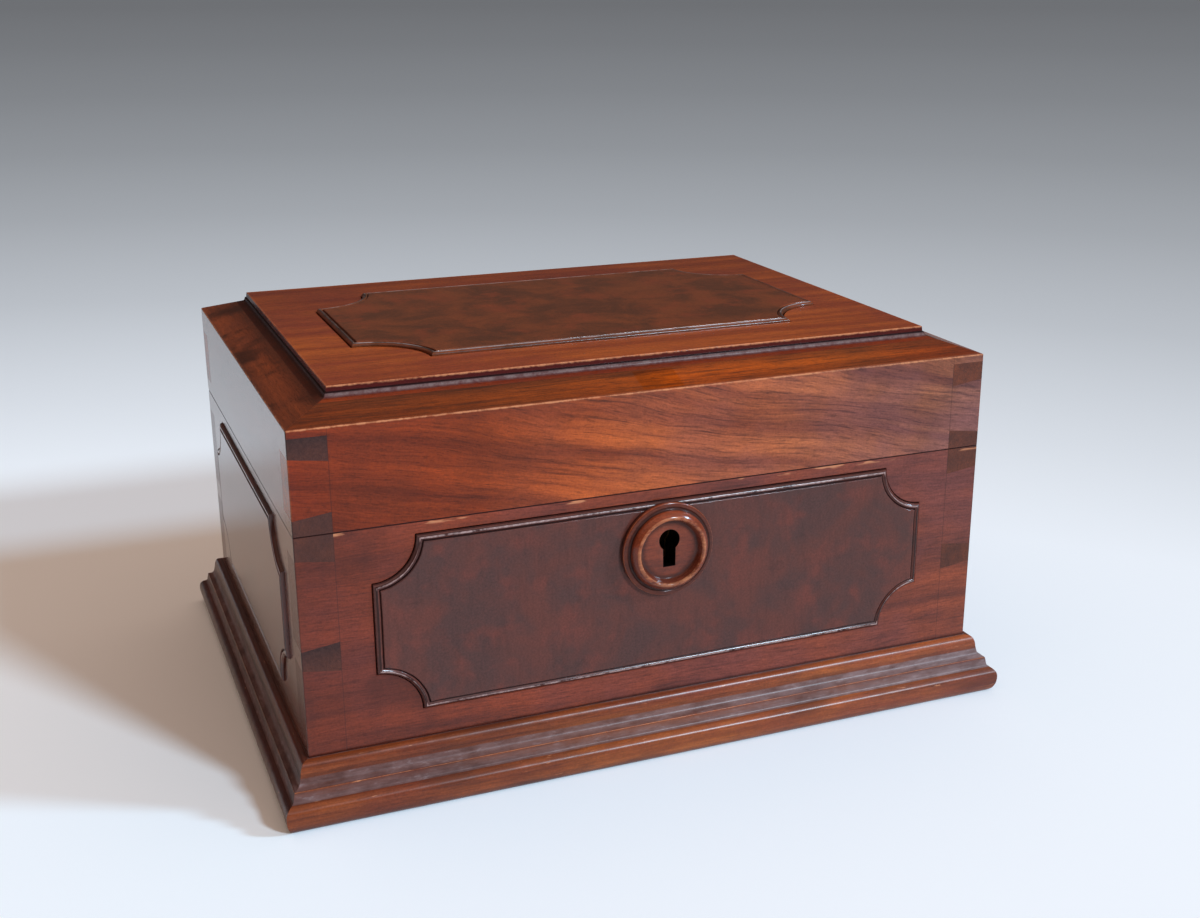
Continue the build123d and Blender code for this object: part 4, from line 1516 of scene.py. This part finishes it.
@dataclass(frozen=True)
class Keyhole:
    """The keyhole's outline about the turned centre: a round with a slot below it."""

    rise: float = 3.8
    radius: float = 4.0
    slot_half: float = 2.4
    slot_foot: float = -6.4

    def reach(self, angles: np.ndarray) -> np.ndarray:
        """How far the outline lies from the centre at each angle.

        It is the larger of two reaches: the circle's, b + sqrt(b^2 - rise^2 + radius^2) with
        b = rise sin(angle), and the slot's, the least of its walls' distances along the ray.

        Args:
            angles: directions, from +X towards up.

        Returns:
            Distances in millimetres.
        """
        sine, cosine = np.sin(angles), np.cos(angles)
        b, tiny = self.rise * sine, 1e-6
        circle = b + np.sqrt(np.maximum(b**2 - self.rise**2 + self.radius**2, 0.0))
        wall = self.slot_half / np.maximum(np.abs(cosine), tiny)
        end = np.where(sine < 0, self.slot_foot, self.rise)
        end = end / np.where(np.abs(sine) < tiny, tiny, sine)
        return np.maximum(circle, np.minimum(wall, np.abs(end)))

    def angles(self, count: int) -> np.ndarray:
        """Evenly spaced directions with the outline's own corners among them.

        Args:
            count: how many are evenly spaced.

        Returns:
            Angles from 0 to a full turn, in order.
        """
        neck = math.sqrt(self.radius**2 - self.slot_half**2)
        marks = [(self.slot_half, self.rise - neck), (self.slot_half, self.slot_foot)]
        corners = [math.atan2(z, side * x) for x, z in marks for side in (-1, 1)]
        spread = np.linspace(0, 2 * math.pi, count, endpoint=False)
        return np.sort(np.concatenate([spread, np.mod(corners, 2 * math.pi)]))


@dataclass
class Escutcheon:
    """The turned wooden ring round the keyhole, with its spigot in the front field."""

    centre_height: float
    face: float
    keyhole: Keyhole = Keyhole()
    foot: float = -2.95
    dish: float = 2.75
    dish_radius: float = 8.6
    # Negative wear darkens the dish's edge, the grooves and the flange with painted shade and
    # grime; the wear on the crest and the rim paints pale rubbed wood that also stands for their
    # highlights.
    section: Section = (  # radius, height above the field's face, rounding, wear
        (8.6, 2.75, 0.0, 0.0),
        (11.1, 2.75, 0.5, -0.55),
        (11.5, 3.3, 0.3, -0.35),
        (12.6, 6.35, 2.5, 2.0),
        (15.2, 4.2, 1.4, 0.0),
        (15.35, 2.2, 0.5, -1.0),
        (16.2, 2.15, 0.4, -0.7),
        (16.5, 2.45, 0.25, -0.5),
        (17.5, 2.3, 0.3, -0.45),
        (17.95, 2.05, 0.35, 0.95),
        (17.95, 0.15, 0.2, -0.8),
        (17.7, 0.0, 0.0, 0.0),
        (9.45, 0.0, 0.0, 0.0),
        (9.45, -2.95, 0.0, 0.0),
    )

    def loops(self) -> tuple[np.ndarray, np.ndarray]:
        """The rings from the keyhole out to the rim and back: radius at an angle, and height.

        Rings inside the dish blend from the keyhole's reach to a circle: (1-k) K + k r.

        Returns:
            Rings of places across, up and out, and the wear of each point.
        """
        angles = self.keyhole.angles(144)
        hole = self.keyhole.reach(angles)
        turned = rounded(self.section, 9, closed=False)
        # the keyhole's walls get wear -3 and -2, which the ring's finish paints near black: painted
        # shade
        rings = [
            (hole, self.foot, -3.0),
            (hole, self.dish - 0.25, -3.0),
            (hole + 0.05, self.dish - 0.07, -2.0),
            (hole + 0.2, self.dish, 0.0),
        ]
        rings += [(hole * (1 - k) + self.dish_radius * k, self.dish, 0.0) for k in (0.35, 0.7)]
        rings += [(np.full_like(angles, r), h, w) for r, h, w in turned]
        places = [
            np.column_stack([r * np.cos(angles), r * np.sin(angles), np.full_like(angles, h)])
            for r, h, _ in rings
        ]
        wear = np.array([w for _, _, w in rings])
        return np.stack(places), np.repeat(wear[:, None], len(angles), 1)

    def piece(self) -> bpy.types.Object:
        """Makes the ring as one closed piece, wrapped through the keyhole.

        Returns:
            The piece.
        """
        loops, wear = self.loops()
        x, up, out = np.moveaxis(loops, -1, 0)
        places = np.stack([x, self.face - out, self.centre_height + up], -1)
        return loft_object("turned_escutcheon", places, wrap=True, sharp=38.0, wear=wear)


@dataclass
class Fields:
    """The five fields and the turned ring on the front one."""

    face_notch: float = 16.0
    side_depth: float = 155.0
    front_width: float = 219.0
    bore: float = 9.55  # the radius of the front field's bore, for the ring's spigot
    raised: float = 1.4  # the fields' face, above the boards'
    ledge: float = -1.6  # where the front field's bore narrows to the keyhole
    foot: float = -3.0  # the fields' underside
    silvery: tuple[Colour, Colour] = (  # the top field's bead: its dull colour, and the silvery colour of its painted highlight
        (0.080, 0.034, 0.026),
        (0.24, 0.17, 0.16),
    )

    def level(self) -> tuple[float, float]:
        """The height of the face fields' middle, and their own height."""
        low, high = corners_mm("front_field")
        return float((low[2] + high[2]) / 2), float(high[2] - low[2] + 0.1)

    def build(self) -> None:
        """Makes and dresses the fields and the ring."""
        middle, height = self.level()
        ways = {"left": (-1, 0, 0), "right": (1, 0, 0), "back": (0, 1, 0), "front": (0, -1, 0)}
        for number, (face, out) in enumerate(ways.items()):
            origin = (out[0] * BOX.half_w, out[1] * BOX.half_d, middle)
            width = self.side_depth if out[0] else self.front_width
            outline = NotchedOutline(width, height, self.face_notch)
            made = Field(outline, origin, (-out[1], out[0], 0), (0, 0, 1), out, seed=5 + number)
            name = f"{face}_burl_field"
            piece = self.bored(made, name) if face == "front" else made.piece(name)
            gloss = 1.0 if out[0] else 0.7
            finish = BurlFinish(f"{face} field burl", BURL_WOOD, 3.0 + number, gloss)
            paint(piece, finish.material())
            put(piece, "case", f"{face}_field")
        made = Field(TABLE_RECESS, (0, 0, BOX.table), (1, 0, 0), (0, 1, 0), (0, 0, 1), seed=21)
        piece = made.piece("top_burl_field")
        paint(piece, BurlFinish("top field burl", TOP_BURL, 8.0, bead=self.silvery).material())
        put(piece, "lid", "top_field")
        self.ring()

    def bored(self, made: Field, name: str) -> bpy.types.Object:
        """Makes the front field, bored for the ring's spigot and pierced by the keyhole.

        The loops turn in from the raised face to the bore, whose points lie on the rays from the
        bore's centre to the face's edge, go down it, and come back under the field.

        Args:
            made: the field's shape.
            name: the piece's name.

        Returns:
            The piece, closed through its keyhole.
        """
        loops, wear = made.loops()
        low, high = corners_mm("escutcheon")
        centre = np.array([0.0, (low[2] + high[2]) / 2 - made.origin[2]])
        rim = loops[-1][:, :2] - centre
        angles = np.arctan2(rim[:, 1], rim[:, 0])
        ray = np.column_stack([np.cos(angles), np.sin(angles)])
        hole = Keyhole().reach(angles)[:, None]
        rings = (
            (self.bore, self.raised),
            (self.bore, self.ledge),
            (hole, self.ledge),
            (hole, self.foot),
        )
        rows = [
            np.column_stack([centre + ray * reach, np.full(len(ray), level)])
            for reach, level in rings
        ]
        stack = np.concatenate([loops, np.stack(rows)])
        # the bore's walls get wear -1, which the burl's finish paints near black: painted shade;
        # its top ring keeps 0
        dark = np.full((len(rows), wear.shape[1]), -1.0)
        dark[0] = 0.0
        wear = np.concatenate([wear, dark])
        return loft_object(name, made.placed(stack), wrap=True, wear=wear)

    def ring(self) -> None:
        """Makes and dresses the turned ring."""
        low, high = corners_mm("escutcheon")
        centre_height = float((low[2] + high[2]) / 2)
        piece = Escutcheon(centre_height, face=-BOX.half_d - BOX.field_proud).piece()
        finish = MouldingFinish(
            name="turned ring wood",
            palette=RING_WOOD,
            grain=Grain.X,
            seed=57.0,
            wave=0.6,
            streaks=0.25,
            dust_and_sheen=0.12,
            shade_and_grime=0.85,
            dents=0.9,
            gloss=1.0,
            stains=0.35,
            scratches=0.3,
            rubbing=0.52,
        )
        paint(piece, finish.material())
        put(piece, "case", "escutcheon")


# ------------------------------------------------------------------ lid's top board


@dataclass
class TopBoard:
    """The lid's raised top board: border strip, cove, table and the recess for its field."""

    tongue: float = 4.5
    foot: float = 137.96
    outline: NotchedOutline = TABLE_RECESS
    strip: float = 15.7  # how far the sloping border runs in
    moulding: Section = (  # inset from the box's faces, height from the table, rounding, wear
        (15.7, -3.8, 0.15, 0.0),
        (16.5, -3.5, 0.6, 0.0),
        (16.85, -2.1, 0.25, 0.0),
        (17.3, -1.95, 0.15, 0.0),
        (17.45, 0.0, 0.2, 0.0),
        (18.6, 0.0, 0.0, 0.0),
    )
    recess: float = 3.0
    waver: float = 0.14

    def rectangle(self, inset: float) -> Loop:
        """A mitred rectangle whose points match the notched outline's one by one.

        Each notch's first half goes to the side before the corner and its second half to the side
        after it, evenly, so that the corner itself has a point.

        Args:
            inset: how far inside the box's faces.

        Returns:
            Rows of two places.
        """
        half = np.array([BOX.half_w, BOX.half_d]) - inset
        points = self.outline.loop(0.0)
        points = points * (half / (np.array([self.outline.width, self.outline.height]) / 2))
        steps, start = self.outline.arc, 0
        middle = steps // 2
        before = np.linspace(0, 1, middle + 1)[:, None]
        after = np.linspace(0, 1, steps - middle)[:, None]
        for sx, sy, run in self.outline.corners:
            corner = half * (sx, sy)
            first, last = points[start].copy(), points[start + steps - 1].copy()
            points[start : start + middle + 1] = first * (1 - before) + corner * before
            points[start + middle : start + steps] = corner * (1 - after) + last * after
            start += steps + run
        return points

    def section(self) -> list[tuple[float, float]]:
        """The board's outline from its foot by the tongue and the moulding to the table.

        The moulding's lowest rows are level with the border where it ends.

        Returns:
            Insets from the box's faces, and heights.
        """
        head = BOX.lid_edge + self.strip * BORDER_SLOPE
        lowest = self.moulding[0][1] + 0.01
        rows = [
            (BOX.wall - self.tongue, self.foot),
            (BOX.wall - self.tongue, BOX.lid_inner - 4.5),
            (BOX.wall, BOX.lid_inner - 4.5),
            (BOX.wall, BOX.lid_inner),
            (15.0, BOX.lid_edge + 15.0 * BORDER_SLOPE),
        ]
        for inset, drop, _ in rounded(self.moulding, 6, closed=False):
            rows.append((inset, BOX.table + drop if drop > lowest else head))
        return rows

    def piece(self) -> bpy.types.Object:
        """Makes the board as a stack of rectangles, and goes down into the recess at the end.

        Near the table, waves draw each point in by (wave + 1) waver towards the middle.

        Returns:
            The piece.
        """
        count = self.outline.size
        uneven = waves(count, 71, (4, 9, 17, 31, 53), 1.0)
        loops = []
        for inset, height in self.section():
            share = min(max((height - BOX.table + 3.0) / 3.0, 0.0), 1.0)
            flat = self.rectangle(inset)
            pull = (uneven + 1.0) * self.waver * share
            flat = flat * (1 - pull[:, None] / np.linalg.norm(flat, axis=1, keepdims=True))
            loops.append(np.column_stack([flat, np.full(count, height)]))
        for inset, drop in ((-0.35, 0.0), (0.0, 0.3), (0.0, self.recess)):
            edge = self.outline.loop(inset)
            loops.append(np.column_stack([edge, np.full(count, BOX.table - drop)]))
        return loft_object("lid_top_table", np.stack(loops), sharp=30.0)

    def build(self) -> None:
        """Makes and dresses the top board."""
        piece = self.piece()
        finish = TableFinish(
            "table wood", TABLE_WOOD, Grain.X, seed=140.0, wave=2.2, streaks=0.3, flat=True
        )
        paint(piece, finish.material())
        put(piece, "lid", "lid_top_board")


@dataclass(frozen=True)
class TableFinish(StraightTimber):
    """The lid's table, with a cove painted with shade and sheen, a rubbed arris and the border's
    wood below it.
    """

    def material(self) -> bpy.types.Material:
        """Builds the table's material.

        Returns:
            The material.
        """
        material, shader = new_shader(self.name)
        colour, relief = self.pattern(shader)
        at = CasePlace.of(shader)
        rise = at.height - BOX.table
        speck = shader.noise(shader.point(), 2.2, 3.0, 0.65)
        outside = rise.ramp(-5.0, -4.5)
        lip = (1.0 - at.inside.ramp(15.5, 15.9)) * outside
        colour = shader.product(colour, shader.mix(lip, WHITE, TABLE_LIP_TINT))
        fillet = rise.ramp(-0.15, -0.35) * outside
        colour = shader.mix(fillet * (1.0 - lip) * 0.92, colour, FILLET_RED)
        # the quirk under the fillet painted near black: painted shade
        under = rise.ramp(-1.7, -1.95) * rise.ramp(-2.7, -2.25) * outside
        colour = shader.mix(under * 0.9, colour, SHADE_AND_GRIME)
        facing = 1.0 - (at.from_front - at.from_side).ramp(-0.6, 0.2)
        # along the sides the cove is painted dark as shade; along the front and back it gets dust
        # and a painted sheen of reflected light, fading downwards
        cove = rise.ramp(-2.2, -2.7) * (1.0 - at.inside.ramp(17.2, 17.5)) * outside
        cove_dust_and_sheen = cove * facing * (0.35 + speck.ramp(0.3, 0.7) * 0.65) * (1.0 - lip * 0.7)
        cove_dust_and_sheen = cove_dust_and_sheen * (rise.ramp(-3.9, -3.0) * 0.75 + 0.25)
        colour = shader.mix(cove * (1.0 - facing) * 0.8, colour, SIDE_COVE_SHADE)
        colour = shader.mix(cove_dust_and_sheen, colour, DUST_AND_SHEEN)
        shade = shader.mix(at.y.ramp(-30.0, 70.0), WHITE, TABLE_FAR_TINT)
        colour = shader.product(colour, shade)
        wear = WearLine(shader, 0.95)
        wear.add(length_of(at.inside - 17.5, rise))
        wear.total = wear.total * (0.35 + facing * 0.65)
        colour = wear.apply(colour)
        rough = 0.40 + shader.noise(shader.point(), 14.0, 3.0) * 0.16
        coat = (1.0 - wear.total * 0.85) * (1.0 - under * 0.9) * (1.0 - cove * 0.8)
        coat = coat * (1.0 - lip * 0.45) * (1.0 - fillet * 0.5) * self.gloss
        shader.surface(colour, rough, shader.bump(relief, 0.045), Coat_Weight=coat, **WAX)
        return material


# ------------------------------------------------------------------ lock, hinges, bottom


@dataclass
class Fittings:
    """The lock, the hinges, the bottom board and its pegs, kept as they are in the frame."""

    def build(self) -> None:
        """Gives each node its finish."""
        brass = MetalFinish("aged brass", linear(190, 156, 104), linear(146, 112, 70))
        screw_brass = MetalFinish("screw brass", linear(200, 166, 112), linear(134, 102, 64), 0.3)
        steel = MetalFinish("blued spring steel", linear(92, 98, 112), linear(58, 60, 70), 0.28)
        metal, screws, spring = brass.material(), screw_brass.material(), steel.material()
        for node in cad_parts:
            if "screws" in node:
                refinish(node, screws)
            elif "spring" in node:
                refinish(node, spring)
            elif "hinge" in node or node.startswith(("lock_", "link_")):
                refinish(node, metal)
        bottom = PlainTimber(
            "bottom board wood", INSIDE_WOOD, Grain.X, seed=210.0, wave=2.0, streaks=0.5
        )
        refinish("case_bottom_board", bottom.material())
        pegs = PlainTimber("peg wood", PEG_WOOD, Grain.Z, seed=230.0, wave=0.4, streaks=0.3)
        refinish("bottom_pegs", pegs.material())


# ------------------------------------------------------------------ stage


@dataclass(frozen=True)
class Window:
    """A window's light: the way to it, its strength and tint, and its width in degrees."""

    way: Vector3
    strength: float
    tint: Colour
    width: float = 8.0


@dataclass
class Stage:
    """The pale floor that greys with distance, two windows, the room's glow and the camera."""

    floor_radius: float = 60.0
    rings: int = 40
    spokes: int = 96
    pool: tuple[float, float] = (-0.45, -0.60)  # middle of the floor's pale part, in metres
    shades: tuple[tuple[float, float], ...] = (  # distance from there in metres, the floor's grey
        (0.75, 0.94),
        (0.95, 0.905),
        (1.13, 0.753),
        (1.47, 0.546),
        (1.97, 0.40),
        (2.66, 0.305),
        (3.84, 0.24),
        (6.20, 0.194),
        (12.0, 0.163),
    )
    glow: Colour = (0.69, 0.525, 0.43)  # the room above
    gloom: Colour = (0.070, 0.056, 0.050)  # the room near the horizon
    beyond: Colour = (0.157, 0.158, 0.166)  # what the camera sees past the floor
    eye: Vector3 = (-0.21107, -0.57681, 0.28535)
    downward: float = 18.077  # how far the camera looks down, in degrees
    rightward: float = 22.466  # how far it is turned from +Y towards +X, in degrees
    windows: tuple[Window, ...] = (
        Window((0.475, -0.88, 0.565), 2.70, (0.63, 0.83, 1.0)),
        Window((0.889, -0.459, 0.565), 2.14, (0.47, 0.75, 1.0)),
    )

    def floor(self) -> None:
        """Lays a disc: rings of radius growing evenly in its logarithm, closed at the middle."""
        angles = np.linspace(0, 2 * math.pi, self.spokes, endpoint=False)
        radii = np.geomspace(0.05, self.floor_radius, self.rings)
        ring = np.stack([np.cos(angles), np.sin(angles), np.zeros_like(angles)], 1)
        places = (radii[:, None, None] * ring[None]).reshape(-1, 3)
        faces = grid_faces(self.rings, self.spokes, wrap=False, caps=False)
        faces.append(tuple(range(self.spokes)))
        piece = mesh_object("floor", places / MM, faces)
        material, shader = new_shader("pale floor")
        x, y, _ = shader.split(shader.point())
        distance = length_of(x * MM - self.pool[0], y * MM - self.pool[1])
        low, high = math.log(self.shades[0][0]), math.log(self.shades[-1][0])
        fraction = (distance.log() - low) / (high - low)
        stops = [((math.log(far) - low) / (high - low), (grey,) * 3) for far, grey in self.shades]
        shader.surface(shader.gradient(fraction, stops), 0.7, None, Specular_IOR_Level=0.1)
        paint(piece, material)

    def light(self) -> None:
        """Hangs the windows' light: broad suns, so that the floor is lit evenly."""
        for number, window in enumerate(self.windows):
            data = bpy.data.lights.new(f"window_{number + 1}", "SUN")
            data.energy = window.strength
            data.color = window.tint
            data.angle = math.radians(window.width)
            lamp = bpy.data.objects.new(data.name, data)
            lamp.rotation_euler = Vector(window.way).to_track_quat("Z", "Y").to_euler()
            bpy.context.scene.collection.objects.link(lamp)

    def world(self) -> None:
        """Lights the scene from the room above; the camera sees the far floor's grey."""
        world = bpy.data.worlds.new("soft room")
        bpy.context.scene.world = world
        world.use_nodes = True
        shader = Shader(world.node_tree, "ShaderNodeOutputWorld")
        _, _, height = shader.split(shader.node("ShaderNodeTexCoord").outputs["Generated"])
        colour = shader.mix(height.ramp(0.35, 0.75), self.gloom, self.glow)
        rays = shader.node("ShaderNodeLightPath").outputs["Is Camera Ray"]
        colour = shader.mix(Value(shader, rays), colour, self.beyond)
        made = shader.node("ShaderNodeBackground", sockets={"Color": colour, "Strength": 1.0})
        shader.tree.links.new(made.outputs[0], shader.output.inputs["Surface"])

    def camera(self) -> None:
        """Sets the camera that frames the box from its front left corner."""
        data = bpy.data.cameras.new("camera")
        data.lens = 45.40
        data.sensor_width = 36.0
        data.shift_x = -0.0241
        data.shift_y = 0.0009
        data.clip_start = 0.01
        data.clip_end = 200.0
        camera = bpy.data.objects.new("camera", data)
        camera.location = self.eye
        tilt = (math.radians(90 - self.downward), 0.0, math.radians(-self.rightward))
        camera.rotation_euler = Euler(tilt, "XYZ")
        bpy.context.scene.collection.objects.link(camera)
        bpy.context.scene.camera = camera

    def build(self) -> None:
        """Sets the whole stage."""
        self.floor()
        self.world()
        self.light()
        self.camera()
        bpy.context.scene.view_settings.view_transform = "Standard"


def main() -> None:
    """Builds and dresses every sub-assembly, then sets the stage."""
    logging.basicConfig(level=logging.INFO, format="%(message)s")
    for part in (Boards(), Plinth(), Fields(), TopBoard(), Fittings(), Stage()):
        part.build()
        LOG.info("%s done", type(part).__name__)
    bpy.context.view_layer.update()


if __name__ == "__main__":
    main()
